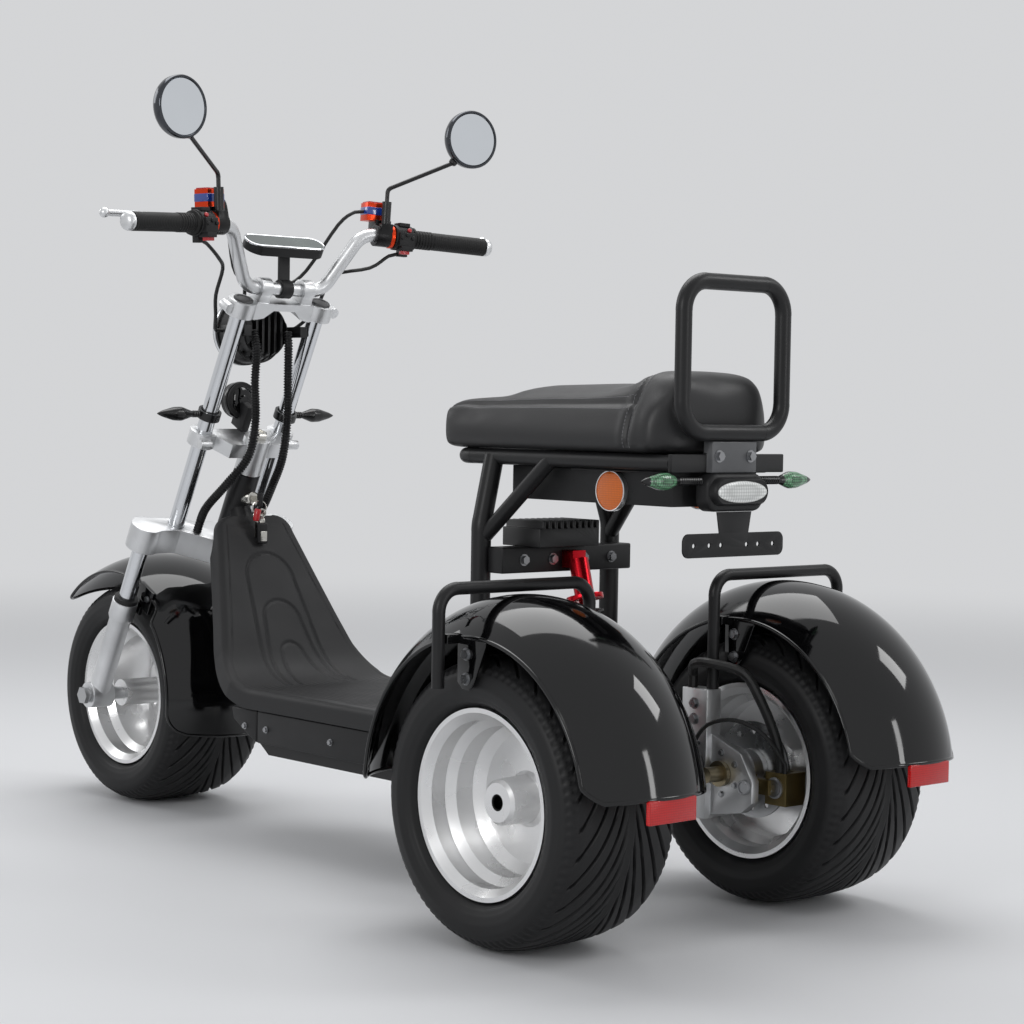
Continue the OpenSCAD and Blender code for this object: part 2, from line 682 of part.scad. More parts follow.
rear_fender_r = tyre_r + rear_fender_gap + fender_t;
rear_fender_arch = 152;
rear_fender_end = 82;
rear_edge_r = rear_fender_r - rear_fender_arch + sqrt(rear_fender_arch ^ 2 - rear_fender_half ^ 2);
tab_z = tyre_r + rear_edge_r - 12;
module rear_fenders() {
    round_r = 46;
    low = rear_edge_r * cos(rear_fender_end) - 26;
    color(gloss_black) both_sides() translate([0, rear_wheel_y, tyre_r]) difference() {
        fender_shell(rear_fender_r, rear_fender_arch, rear_fender_half, 88, -rear_fender_end);
        for (side = [-1, 1]) translate([-rear_fender_r - 1, side * (rear_fender_half - round_r + 3), low])
            rotate([90, 0, 90]) linear_extrude(rear_fender_r / 2) difference() {
                translate([side > 0 ? 0 : -round_r - 2, 0]) square([round_r + 2, round_r + 20]);
                translate([0, round_r + 20]) circle(round_r);
            }
    }
    tab_in = guard_in_y + guard_r + seat_gap;
    tab_out = guard_out_y - guard_r - seat_gap;
    edge_in = rear_wheel_y - rear_fender_half;
    edge_out = rear_wheel_y + rear_fender_half;
    color(gloss_black) both_sides() {
        translate([guard_x - 8, tab_in, tab_z]) cube([16, edge_in + 4 - tab_in, 14]);
        translate([guard_x - 8, edge_out - 4, tab_z]) cube([16, tab_out - edge_out + 4, 14]);
        for (face = [edge_in + 0.4, edge_out + 3.6]) translate([guard_x, face, tab_z]) rotate([90, 0, 0])
            linear_extrude(4) polygon([[-4, 10], [-4, -56], [-16, -66], [-32, -66], [-42, -54], [-66, 0], [-66, 6]]);
    }
}

module guard_hoops() {
    foot_out = tyre_r + 171;
    color(satin_black) both_sides()
        bent_tube([[guard_x, guard_in_y, carrier_high], [guard_x, guard_in_y, guard_top_z],
            [guard_x, guard_out_y, guard_top_z], [guard_x, guard_out_y, foot_out]], guard_r, 34);
}

module rear_reflectors() {
    back = rear_fender_r - 4;
    top = tyre_r + (back - 8) / tan(rear_fender_end) - seat_gap;
    color(lamp_red) both_sides() translate([-back, rear_wheel_y - 46, top - 34]) cube([8, 92, 34]);
}

// Chassis

module chassis() {
    head = fork_at(-steer_offset, 0, (head_bottom + head_top) / 2);
    corner = [shield_corner_x + neck_under * tan(shield_angle / 2), 0, deck_z - neck_under];
    toe = [shield_corner_x - 110, 0, deck_z - neck_under];
    cross_x = [toe.x, post_x + 60];
    foot_w = post_y + post_r + 2 - rail_tube_y;
    color(satin_black) {
        difference() {
            union() {
                on_fork() translate([-steer_offset, 0, head_bottom])
                    cylinder(h = head_top - head_bottom, r = head_r);
                bent_tube([head, corner, toe], neck_r, shield_bend + neck_under);
            }
            on_fork() translate([-steer_offset, 0, head_bottom - 1])
                cylinder(h = head_top - head_bottom + 2, r = stem_r + run_gap);
        }
        for (x = cross_x)
            rod([x, -rail_tube_y, rail_tube_z], [x, rail_tube_y, rail_tube_z], rail_tube_r);
        both_sides() {
            rod([post_x - 30, rail_tube_y, rail_tube_z], [toe.x + 20, rail_tube_y, rail_tube_z], rail_tube_r);
            translate([post_x - 26, rail_tube_y - 8, rail_tube_z + 4])
                cube([52, foot_w + 8, post_foot_z - rail_tube_z - 4]);
        }
    }
}

// Side outline of the mat: down the leg shield, round the bend and back along the deck.
// It lies inset below the top face and runs over past both ends.
function mat_line(inset, over) = let (
        slant = [cos(shield_angle), sin(shield_angle)],
        centre = [shield_corner_x - shield_bend * tan(shield_angle / 2), deck_z + shield_bend],
        rise = (shield_top - deck_z) / sin(shield_angle))
    concat(
        [[shield_corner_x, deck_z] + slant * (rise + over) - inset * [-slant.y, slant.x]],
        [for (i = [0 : 8]) let (a = shield_angle - 90 - i * shield_angle / 8)
            centre + (shield_bend + inset) * [cos(a), sin(a)]],
        [[mat_rear_x - over, deck_z - inset]]);

// Front outline of the mat: height below its top, half width
mat_widths = [[0, 80], [30, 86], [121, 112], [186, 131], [239, 148], [285, deck_half]];

module floor_mat() {
    color(rubber_black) difference() {
        mat_slab(0, mat_skirt, 0, 0);
        mat_slab(mat_t, mat_skirt + 5, mat_t, 5);
    }
}

// Slab that follows the mat's side outline between two depths, within the front outline
module mat_slab(top, bottom, side, over) {
    under = mat_line(bottom, over);
    edge = [for (w = mat_widths) [w[1] - side, shield_top + (w[0] == 0 ? over : 0) - w[0]]];
    low = deck_z - 100;
    intersection() {
        rotate([90, 0, 0]) translate([0, 0, -deck_half]) linear_extrude(2 * deck_half)
            polygon(concat(mat_line(top, over), [for (i = [len(under) - 1 : -1 : 0]) under[i]]));
        rotate([90, 0, 90]) linear_extrude(wheelbase) polygon(concat(
            edge, [[deck_half - side, low], [side - deck_half, low]],
            [for (i = [len(edge) - 1 : -1 : 0]) [-edge[i][0], edge[i][1]]]));
    }
}

pan_half = deck_half - 20;
pan_low = 166;
pan_front = shield_corner_x - 62;
module deck_pan() {
    top = deck_z - mat_skirt - seat_gap;
    wall = 3;
    sill = rail_tube_z - rail_tube_r - seat_gap;
    notch = deck_z - neck_under - neck_r - 2;
    color(satin_black) difference() {
        translate([0, pan_half, 0]) rotate([90, 0, 0]) linear_extrude(2 * pan_half)
            polygon([[mat_rear_x, pan_low], [pan_front - 50, pan_low], [pan_front, pan_low + 34],
                [pan_front, top], [mat_rear_x, top]]);
        translate([0, pan_half - wall, 0]) rotate([90, 0, 0]) linear_extrude(2 * (pan_half - wall)) {
            polygon([[mat_rear_x + wall, pan_low + wall], [pan_front - 50 - wall, pan_low + wall],
                [pan_front - wall, pan_low + 34 + wall], [pan_front - wall, deck_z], [mat_rear_x + wall, deck_z]]);
            translate([mat_rear_x - 1, sill]) square([pan_front - mat_rear_x + 2, deck_z]);
        }
        translate([pan_front - 20, -neck_r - 4, notch]) cube([40, 2 * neck_r + 8, deck_z]);
    }
}

module battery_block() {
    color("#303236") translate([mat_rear_x + 40, -104, pan_low + 3 + seat_gap])
        cube([pan_front - mat_rear_x - 130, 208, 62]);
}

module side_panels() {
    panel_t = deck_half - pan_half - seat_gap - 1;
    top = deck_z - mat_skirt - seat_gap;
    low = pan_low + 22;
    seam = pan_front - 40;
    color(satin_black) both_sides() translate([0, pan_half + seat_gap + panel_t, 0]) rotate([90, 0, 0])
        linear_extrude(panel_t) {
            polygon([[mat_rear_x, low], [seam, low], [seam, top], [mat_rear_x, top]]);
            polygon([[seam + 2, low], [seam + 30, low + 12], [pan_front + 34, low + 36], [pan_front + 40, top],
                [seam + 2, top]]);
        }
}

module seat_frame() {
    color(satin_black) {
        bent_tube([[rail_end_x, rail_y, rail_z], [seat_front_x - 50, rail_y, rail_z],
            [seat_front_x - 50, -rail_y, rail_z], [rail_end_x, -rail_y, rail_z]], rail_r, 50);
        both_sides() {
            bent_tube([[post_x + 8, rail_y, rail_z], [post_x, post_y, rail_z - 110],
                [post_x, post_y, post_foot_z]], post_r, 60);
            rod([post_x - 130, rail_y, rail_z], [post_x - 2, post_y - 2, beam_z + 34], rail_r);
        }
    }
}

module cross_beam() {
    color(satin_black) translate([beam_x, -post_y, beam_z - beam_h / 2]) cube([beam_d, 2 * post_y, beam_h]);
}

module motor_controller() {
    low = beam_z + beam_h / 2;
    color(satin_black) translate([beam_x - 30, -40, low]) {
        cube([90, 130, 30]);
        for (i = [0 : 9]) translate([0, i * 13, 29]) cube([90, 6, 13]);
    }
}

tray_low = rail_z - 66;
module under_seat_tray() {
    top = rail_z - rail_r - seat_gap;
    color(satin_black) {
        translate([rail_end_x + 20, -92, tray_low]) cube([360, 184, top - tray_low]);
        translate([rail_end_x + 20, -rail_y - 4, top - 3]) cube([200, 2 * rail_y + 8, 3]);
    }
}

module seat_cushion() {
    low = rail_z + rail_r + seat_gap;
    high = low + 122;
    corner = 46;
    color(leather_black) intersection() {
        translate([0, seat_half, 0]) rotate([90, 0, 0]) linear_extrude(2 * seat_half)
            polygon([[seat_rear_x, low], [seat_front_x - 12, low], [seat_front_x, low + 20],
                [seat_front_x - 6, low + 56], [seat_front_x - 30, low + 70], [300, low + 78], [60, low + 88],
                [10, low + 98], [-34, low + 116], [-60, high], [seat_rear_x + 16, high], [seat_rear_x, high - 18]]);
        translate([0, 0, low - 1]) linear_extrude(high - low + 2)
            polygon([[seat_rear_x, 40 - seat_half], [seat_rear_x + 26, -seat_half], [seat_front_x - corner, -seat_half],
                [seat_front_x - 14, corner - 12 - seat_half], [seat_front_x, 2 * corner - seat_half],
                [seat_front_x, seat_half - 2 * corner], [seat_front_x - 14, seat_half + 12 - corner],
                [seat_front_x - corner, seat_half], [seat_rear_x + 26, seat_half], [seat_rear_x, seat_half - 40]]);
        rotate([90, 0, 90]) translate([0, 0, seat_rear_x - 1]) linear_extrude(seat_len + 2)
            polygon([[-seat_half + 4, low], [-seat_half, low + 12], [-seat_half, low + 52], [-seat_half + 8, low + 72],
                [-seat_half + 30, low + 96], [-seat_half + 48, high], [seat_half - 48, high], [seat_half - 30, low + 96],
                [seat_half - 8, low + 72], [seat_half, low + 52], [seat_half, low + 12], [seat_half - 4, low]]);
    }
    pad_half = seat_half - 34;
    color(leather_black) intersection() {
        translate([0, pad_half, 0]) rotate([90, 0, 0]) linear_extrude(2 * pad_half)
            polygon([[20, low + 60], [296, low + 60], [288, low + 78], [266, low + 88], [222, low + 97],
                [60, low + 101], [20, low + 98]]);
        rotate([90, 0, 90]) linear_extrude(seat_front_x)
            polygon([[-pad_half, low + 60], [-pad_half, low + 82], [-pad_half + 22, low + 92], [-pad_half + 56, low + 101],
                [pad_half - 56, low + 101], [pad_half - 22, low + 92], [pad_half, low + 82], [pad_half, low + 60]]);
    }
}

module backrest_hoop() {
    top = hoop_bottom_z + hoop_h;
    color(satin_black) bent_tube([[hoop_x, 0, hoop_bottom_z], [hoop_x, hoop_half, hoop_bottom_z],
        [hoop_x, hoop_half, top], [hoop_x, -hoop_half, top], [hoop_x, -hoop_half, hoop_bottom_z],
        [hoop_x, 0, hoop_bottom_z]], rail_r, 45);
}

tail_t = 8;
tail_face_x = rail_end_x - seat_gap - tail_t;
module tail_bracket() {
    top = hoop_bottom_z - rail_r - seat_gap;
    color("#3a3b3d") {
        translate([tail_face_x, -rail_y - rail_r, rail_z - 14]) cube([tail_t, 2 * (rail_y + rail_r), 28]);
        translate([tail_face_x - 12, -48, rail_z - 14]) cube([tail_t + 12, 96, top - rail_z + 14]);
    }
}

module tail_lamp() {
    color(satin_black) translate([tail_face_x - 18, -61, rail_z - 72]) cube([18 + tail_t, 122, 58 - seat_gap]);
    color("#d7d7d2") translate([tail_face_x - 18, 0, rail_z - 42]) rotate([0, -90, 0]) intersection() {
        cylinder(h = 12, r = 54);
        translate([-18, -60, 0]) cube([36, 120, 20]);
    }
}

module rear_indicators() {
    color(satin_black) both_sides() translate([tail_face_x, 61 + seat_gap, rail_z - 26]) rotate([-90, 0, 0]) {
        cylinder(h = 50, r = 6);
        translate([0, 0, 50]) rotate_extrude()
            polygon([[0, 0], [6, 0], [13, 22], [12, 38], [6, 62], [0, 74]]);
    }
}

plate_hole_r = 3.5;
module plate_bracket() {
    low = rail_z - 140;
    color(satin_black) translate([tail_face_x - 14, 0, low]) difference() {
        rotate([90, 0, 90]) linear_extrude(3) {
            translate([-97, 0]) square([194, 36]);
            translate([-109, 12]) square([218, 12]);
            for (y = [-97, 97], z = [12, 24]) translate([y, z]) circle(12);
            polygon([[-30, 30], [30, 30], [37, 68 - seat_gap], [-37, 68 - seat_gap]]);
        }
        for (side = [-1, 1], y = [28, 53, 86]) translate([-1, side * y, 18]) rotate([0, 90, 0])
            cylinder(h = 5, r = plate_hole_r);
    }
}

module side_reflectors() {
    color(lamp_orange) both_sides() translate([28, 92, rail_z - 46]) rotate([-90, 0, 0])
        translate([0, 0, seat_gap]) cylinder(h = 8, r = 30);
}

// Running gear at the rear

shock_top = [beam_x - 24, 0, beam_z];
shock_foot = [130, 0, 290];
eye_r = 14;
module rear_shock() {
    w = unit(shock_foot - shock_top);
    u = across(w);
    run = norm(shock_foot - shock_top);
    color(lamp_red) multmatrix(axes_at(shock_top, u, cross(w, u), w)) {
        translate([0, 0, 0]) cylinder(h = 60, r = 16);
        translate([0, 0, 60]) cylinder(h = 8, r = 30);
        translate([0, 0, 67]) cylinder(h = run - 100, r = 11);
        translate([0, 0, run - 34]) cylinder(h = 8, r = 30);
        translate([0, 0, run - 30]) cylinder(h = 30, r = 10);
    }
    color(lamp_red) rod(shock_foot - [0, eye_r, 0], shock_foot + [0, eye_r, 0], eye_r);
    color(lamp_red) translate([beam_x - seat_gap - 26, -14, beam_z - 14]) cube([26, 28, 28]);
}

// Coil spring between the cups of the shock
spring_turns = 6;
spring_r = 23;
wire_r = 4.5;
module shock_spring() {
    w = unit(shock_foot - shock_top);
    u = across(w);
    run = norm(shock_foot - shock_top);
    from = 68 + wire_r + seat_gap;
    to = run - 34 - wire_r - seat_gap;
    steps = spring_turns * 12;
    color(satin_black) multmatrix(axes_at(shock_top, u, cross(w, u), w))
        cord([for (i = [0 : steps]) [spring_r * cos(i * 30), spring_r * sin(i * 30), from + (to - from) * i / steps]],
            wire_r, [0, 0, 1], 8);
}

// Thick motor cable and thin brake hose on each side, from the carrier to the caliper
motor_cable_r = 8;
hose_r = 3.5;
module rear_hoses() {
    jaw_top = tyre_r + 6 + seat_gap;
    cable = [[carrier_x + 42, carrier_in + 10, carrier_high + seat_gap], [carrier_x + 42, carrier_in + 10, carrier_high + 20],
        [carrier_x + 24, carrier_in - 6, carrier_high + 40], [carrier_x - 10, carrier_in - 6, carrier_high + 44],
        [-30, carrier_in + 26, carrier_high + 30],
        [-62, carrier_in + 32, carrier_high - 10], [-72, carrier_in + 56, jaw_top + 60],
        [-76, carrier_in + 66, jaw_top + 16], [-76, carrier_in + 66, jaw_top]];
    hose = [[carrier_x + 16, carrier_in - seat_gap, tyre_r + 45], [carrier_x + 16, carrier_in - 12, tyre_r + 45],
        [8, carrier_in - 14, tyre_r + 79], [-34, carrier_in + 6, tyre_r + 89], [-70, carrier_in + 34, tyre_r + 67],
        [-90, carrier_in + 62, jaw_top + 14], [-90, carrier_in + 62, jaw_top]];
    color(rubber_black) both_sides() {
        cord(smooth_line(cable), motor_cable_r, [0.3, 1, 0.2]);
        cord(smooth_line(hose), hose_r, [0.5, 1, -0.6], 8);
    }
}

pivot_x = post_x + 60;
arm_y = 80;
arm_r = 18;
module swingarm() {
    pivot_z = rail_tube_z - rail_tube_r - arm_r - seat_gap;
    rear_x = carrier_x + carrier_d / 2;
    color(satin_black) {
        rod([pivot_x, -arm_y - 30, pivot_z], [pivot_x, arm_y + 30, pivot_z], arm_r);
        both_sides() rod([pivot_x, arm_y, pivot_z], [rear_x, arm_y, tyre_r + 10], arm_r);
        rod([rear_x, -carrier_in, tyre_r + 10], [rear_x, carrier_in, tyre_r + 10], 24);
        rod([130, -arm_y, tyre_r + 6], [130, arm_y, tyre_r + 6], 16);
        translate([118, -12, tyre_r]) cube([24, 24, shock_foot.z - eye_r - seat_gap - tyre_r]);
    }
}

module axle_carriers() {
    housing_r = 42;
    housing_in = carrier_in + 12;
    housing_out = carrier_in + 46;
    color(silver) both_sides() difference() {
        union() {
            translate([carrier_x, carrier_in, carrier_low]) cube([carrier_d, carrier_out - carrier_in,
                carrier_high - carrier_low]);
            translate([0, housing_in, tyre_r]) rotate([-90, 0, 0]) {
                cylinder(h = housing_out - housing_in, r = housing_r);
                linear_extrude(16) polygon([[carrier_x + 4, -62], [carrier_x + 4, 70], [-44, 58], [-66, 40], [-66, 6],
                    [-40, -36]]);
            }
            translate([carrier_x + 8, carrier_out - 1, carrier_low]) cube([carrier_d - 16, 48, 14]);
        }
        translate([0, carrier_in - 1, tyre_r]) rotate([-90, 0, 0]) cylinder(h = 60, r = axle_r + seat_gap);
    }
}

module rear_axles() {
    color("#8b7a52") both_sides() translate([0, 0, tyre_r]) rotate([-90, 0, 0]) {
        translate([0, 0, carrier_in - 26]) cylinder(h = rear_wheel_y + hub_out - 12 - carrier_in + 26, r = axle_r);
        translate([0, 0, carrier_in + 12 - 9]) cylinder(h = 9 - seat_gap, r = nut_r);
    }
}

module brake_calipers() {
    disc_y = rear_wheel_y + disc_z;
    color("#6d6348") both_sides() translate([0, 0, tyre_r]) difference() {
        union() {
            translate([-96, disc_y - 26, -46]) cube([44, 46, 52]);
            translate([-70, carrier_in + 46 + seat_gap, -30]) cube([50, disc_y - 26 - carrier_in - 46 - seat_gap + 1, 24]);
            translate([-40, carrier_in + 46 + seat_gap, -36]) cube([20, 6, 36]);
        }
        rotate([-90, 0, 0]) translate([0, 0, disc_y - 5]) cylinder(h = disc_t + 10, r = disc_r + 6);
    }
}

translate([-x_mid, 0, 0]) chassis();
translate([-x_mid, 0, 0]) deck_pan();
translate([-x_mid, 0, 0]) battery_block();
translate([-x_mid, 0, 0]) floor_mat();
translate([-x_mid, 0, 0]) side_panels();
translate([-x_mid, 0, 0]) seat_frame();
translate([-x_mid, 0, 0]) cross_beam();
translate([-x_mid, 0, 0]) motor_controller();
translate([-x_mid, 0, 0]) under_seat_tray();
translate([-x_mid, 0, 0]) seat_cushion();
translate([-x_mid, 0, 0]) backrest_hoop();
translate([-x_mid, 0, 0]) tail_bracket();
translate([-x_mid, 0, 0]) tail_lamp();
translate([-x_mid, 0, 0]) rear_indicators();
translate([-x_mid, 0, 0]) plate_bracket();
translate([-x_mid, 0, 0]) side_reflectors();
translate([-x_mid, 0, 0]) rear_shock();
translate([-x_mid, 0, 0]) shock_spring();
translate([-x_mid, 0, 0]) rear_hoses();
translate([-x_mid, 0, 0]) swingarm();
translate([-x_mid, 0, 0]) axle_carriers();
translate([-x_mid, 0, 0]) rear_axles();
translate([-x_mid, 0, 0]) brake_calipers();
translate([-x_mid, 0, 0]) rear_fenders();
translate([-x_mid, 0, 0]) guard_hoops();
translate([-x_mid, 0, 0]) rear_reflectors();
translate([-x_mid, 0, 0]) lower_yoke();
translate([-x_mid, 0, 0]) middle_clamp();
translate([-x_mid, 0, 0]) top_clamp();
translate([-x_mid, 0, 0]) upper_fork_tubes();
translate([-x_mid, 0, 0]) fork_stanchions();
translate([-x_mid, 0, 0]) fork_seals();
translate([-x_mid, 0, 0]) fork_sliders();
translate([-x_mid, 0, 0]) front_axle();
translate([-x_mid, 0, 0]) front_fender();
translate([-x_mid, 0, 0]) handlebar();
translate([-x_mid, 0, 0]) grips();
translate([-x_mid, 0, 0]) switch_pods();
translate([-x_mid, 0, 0]) master_cylinders();
translate([-x_mid, 0, 0]) brake_levers();
translate([-x_mid, 0, 0]) mirror_stems();
translate([-x_mid, 0, 0]) mirror_heads();
translate([-x_mid, 0, 0]) display();
translate([-x_mid, 0, 0]) headlamp();
translate([-x_mid, 0, 0]) horn();
translate([-x_mid, 0, 0]) front_indicators();
translate([-x_mid, 0, 0]) wiring_looms();
translate([-x_mid, 0, 0]) control_cables();
translate([-x_mid, 0, 0]) front_wheel_rim();  // front_rim
translate([-x_mid, 0, 0]) front_tyre();
translate([-x_mid, 0, 0]) rear_left_rim();
translate([-x_mid, 0, 0]) rear_left_tyre();
translate([-x_mid, 0, 0]) rear_left_disc();
translate([-x_mid, 0, 0]) rear_right_rim();
translate([-x_mid, 0, 0]) rear_right_tyre();
translate([-x_mid, 0, 0]) rear_right_disc();
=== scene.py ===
import math

import bmesh
import bpy
import numpy as np
from mathutils import Matrix, Vector
from mathutils.bvhtree import BVHTree


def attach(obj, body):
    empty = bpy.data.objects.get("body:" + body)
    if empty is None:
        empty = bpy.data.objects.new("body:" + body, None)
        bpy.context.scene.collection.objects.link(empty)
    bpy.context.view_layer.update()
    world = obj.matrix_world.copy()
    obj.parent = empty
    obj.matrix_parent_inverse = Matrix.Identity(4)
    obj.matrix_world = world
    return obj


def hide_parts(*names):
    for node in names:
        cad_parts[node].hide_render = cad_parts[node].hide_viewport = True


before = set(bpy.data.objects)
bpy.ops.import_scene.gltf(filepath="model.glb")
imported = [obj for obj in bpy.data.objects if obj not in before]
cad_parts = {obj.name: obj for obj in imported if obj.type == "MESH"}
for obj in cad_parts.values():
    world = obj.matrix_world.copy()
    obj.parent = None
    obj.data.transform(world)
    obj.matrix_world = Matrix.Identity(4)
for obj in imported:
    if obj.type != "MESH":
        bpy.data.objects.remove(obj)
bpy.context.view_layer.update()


# The studio: a floor of pale paper that runs into a pale surround, lit by four soft boxes and a narrow strip
# behind the wheels. The camera stands behind the left rear wheel with a long lens, level with the seat.
def srgb(code):
    """A colour written as a hex code, turned to linear."""
    parts = [int(code[i:i + 2], 16) / 255 for i in (1, 3, 5)]
    return tuple(c / 12.92 if c <= 0.04045 else ((c + 0.055) / 1.055) ** 2.4 for c in parts) + (1.0,)


def put(tree, kind, values=(), links=(), **settings):
    """Add a node with its settings, its input values and its links."""
    made = tree.nodes.new(kind)
    for key, value in settings.items():
        setattr(made, key, value)
    for key, value in dict(values).items():
        made.inputs[key].default_value = value
    for key, source in dict(links).items():
        tree.links.new(source, made.inputs[key])
    return made


surround, seen_level, light_level = srgb("#f2f3f5"), 0.74, 0.5
world = bpy.data.worlds.new("pale_surround")
bpy.context.scene.world = world
world.use_nodes = True
world.node_tree.nodes.clear()
rays = put(world.node_tree, "ShaderNodeLightPath").outputs
mirrored = put(world.node_tree, "ShaderNodeMath", {}, {0: rays["Is Camera Ray"], 1: rays["Is Glossy Ray"]},
               operation="ADD")
seen = put(world.node_tree, "ShaderNodeMath", {},
           {0: mirrored.outputs[0], 1: rays["Is Transmission Ray"]}, operation="ADD")
level = put(world.node_tree, "ShaderNodeMapRange", {"To Min": light_level, "To Max": seen_level},
            {"Value": seen.outputs[0]})
sky = put(world.node_tree, "ShaderNodeBackground", {"Color": surround}, {"Strength": level.outputs[0]})
put(world.node_tree, "ShaderNodeOutputWorld", {}, {"Surface": sky.outputs["Background"]})
bpy.context.scene.view_settings.view_transform = "Standard"

floor_mesh = bpy.data.meshes.new("studio_floor")
floor_mesh.from_pydata([(-40, -40, 0), (40, -40, 0), (40, 40, 0), (-40, 40, 0)], [], [(0, 1, 2, 3)])
floor = bpy.data.objects.new("studio_floor", floor_mesh)
bpy.context.scene.collection.objects.link(floor)
# Matt paper: faintly cloudy, nearly without sheen, and fading into the surround a few metres off.
fade_from, fade_to = 2.2, 7.0
paper = bpy.data.materials.new("pale_paper")
paper.use_nodes = True
sheet = paper.node_tree
sheet.nodes.clear()
fibre = put(sheet, "ShaderNodeTexNoise", {"Scale": 3.0, "Detail": 3.0})
pulp = put(sheet, "ShaderNodeValToRGB", {}, {"Fac": fibre.outputs[0]})
pulp.color_ramp.elements[0].color = srgb("#dddee0")
pulp.color_ramp.elements[1].color = srgb("#e3e4e6")
matt = put(sheet, "ShaderNodeBsdfPrincipled", {"Roughness": 0.5, "Specular IOR Level": 0.2},
           {"Base Color": pulp.outputs["Color"]})
ground = put(sheet, "ShaderNodeNewGeometry")
away = put(sheet, "ShaderNodeVectorMath", {}, {0: ground.outputs["Position"]}, operation="LENGTH")
far = put(sheet, "ShaderNodeMapRange", {"From Min": fade_from, "From Max": fade_to},
          {"Value": away.outputs["Value"]}, interpolation_type="SMOOTHSTEP")
haze = put(sheet, "ShaderNodeEmission", {"Color": surround, "Strength": seen_level})
blend = put(sheet, "ShaderNodeMixShader", {},
            {0: far.outputs["Result"], 1: matt.outputs["BSDF"], 2: haze.outputs[0]})
put(sheet, "ShaderNodeOutputMaterial", {}, {"Surface": blend.outputs[0]})
floor_mesh.materials.append(paper)

# name, place, aim, width, height, watts
for name, place, aim, wide, high, watts in [
        ("overhead_box", (0.7, -0.5, 3.4), (0.0, 0.0, 0.4), 2.8, 2.0, 56),
        ("left_box", (-1.5, 4.0, 2.0), (-0.3, 0.2, 0.5), 0.9, 1.5, 34),
        ("rear_box", (-2.4, -2.4, 3.0), (-0.5, 0.0, 0.5), 0.9, 1.3, 24),
        ("front_box", (3.4, 1.4, 2.4), (0.3, 0.0, 0.5), 1.6, 1.4, 16),
        ("rear_strip", (-3.9, -0.6, 1.1), (-0.6, 0.0, 0.5), 0.34, 1.5, 11)]:
    lamp = bpy.data.lights.new(name, "AREA")
    lamp.shape, lamp.size, lamp.size_y, lamp.energy = "RECTANGLE", wide, high, watts
    stand = bpy.data.objects.new(name, lamp)
    stand.location = place
    stand.rotation_euler = (Vector(aim) - Vector(place)).to_track_quat("-Z", "Y").to_euler()
    bpy.context.scene.collection.objects.link(stand)

camera_at = (-3.23, 2.5753, 0.7942)
yaw, pitch, roll = (math.radians(a) for a in (-41.32, -2.56, 0.93))
focal_pixels, picture_pixels, sensor_mm = 2342.2, 1024, 36.0
ahead = Vector((math.cos(yaw) * math.cos(pitch), math.sin(yaw) * math.cos(pitch), math.sin(pitch)))
level_right = Vector((math.sin(yaw), -math.cos(yaw), 0))
level_up = level_right.cross(ahead)
right = math.cos(roll) * level_right + math.sin(roll) * level_up
upward = math.cos(roll) * level_up - math.sin(roll) * level_right
long_lens = bpy.data.cameras.new("long_lens")
long_lens.sensor_width, long_lens.clip_end = sensor_mm, 60
long_lens.lens = focal_pixels * sensor_mm / picture_pixels
camera = bpy.data.objects.new("long_lens", long_lens)
turned = Matrix((right, upward, -ahead)).transposed().to_4x4()
camera.matrix_world = Matrix.Translation(camera_at) @ turned
bpy.context.scene.collection.objects.link(camera)
bpy.context.scene.camera = camera


# Frame tubes: steel tube, bent, welded and powder coated satin black. They stay the solids of the part.
# The battery under the deck is one block of cells in a grey-blue shrink wrap.
def finish(name, colour, rough, metal=0.0, spread=0.08, grain_mm=2.0, bump_mm=0.02, coat=0.0, shine=0.5):
    """A surface with clouds of colour about 70 mm across, a finer grain in its bump and a clear coat."""
    made = bpy.data.materials.new(name)
    made.use_nodes = True
    tree = made.node_tree
    tree.nodes.clear()
    place = put(tree, "ShaderNodeTexCoord", name="place").outputs["Object"]
    cloud = put(tree, "ShaderNodeTexNoise", {"Scale": 14.0, "Detail": 4.0}, {"Vector": place})
    grain = put(tree, "ShaderNodeTexNoise", {"Scale": 1000 / grain_mm, "Detail": 3.0}, {"Vector": place})
    tone = put(tree, "ShaderNodeValToRGB", {}, {"Fac": cloud.outputs[0]}, name="tone")
    base = srgb(colour)
    for stop, spot, k in zip(tone.color_ramp.elements, (0.3, 0.7), (1 - spread, 1 + spread)):
        stop.color = tuple(min(c * k, 1) for c in base[:3]) + (1.0,)
        stop.position = spot
    gloss = put(tree, "ShaderNodeMapRange",
                {"From Min": 0.3, "From Max": 0.7, "To Min": max(rough - 0.05, 0.02), "To Max": rough + 0.06},
                {"Value": cloud.outputs[0]})
    bump = put(tree, "ShaderNodeBump", {"Strength": 0.7, "Distance": bump_mm / 1000},
               {"Height": grain.outputs[0]}, name="bump")
    skin = put(tree, "ShaderNodeBsdfPrincipled",
               {"Metallic": metal, "Coat Weight": coat, "Coat Roughness": 0.03, "Specular IOR Level": shine},
               {"Base Color": tone.outputs["Color"], "Roughness": gloss.outputs["Result"],
                "Normal": bump.outputs["Normal"]}, name="skin")
    put(tree, "ShaderNodeOutputMaterial", {}, {"Surface": skin.outputs["BSDF"]})
    return made


def dress(made, *names):
    """Give CAD nodes a finish."""
    for name in names:
        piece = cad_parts[name]
        if not piece.material_slots:
            piece.data.materials.append(made)
        for held in piece.material_slots:
            held.material = made


# Baked powder: satin black with a faint orange peel that breaks up the sheen.
satin_powder_coat = finish("satin_powder_coat", "#1c1c1d", 0.38, shine=0.3, spread=0.12, grain_mm=1.6,
                           bump_mm=0.05)
dress(satin_powder_coat, "chassis", "seat_frame", "backrest_hoop", "guard_hoops", "swingarm", "shock_spring",
      "deck_pan")
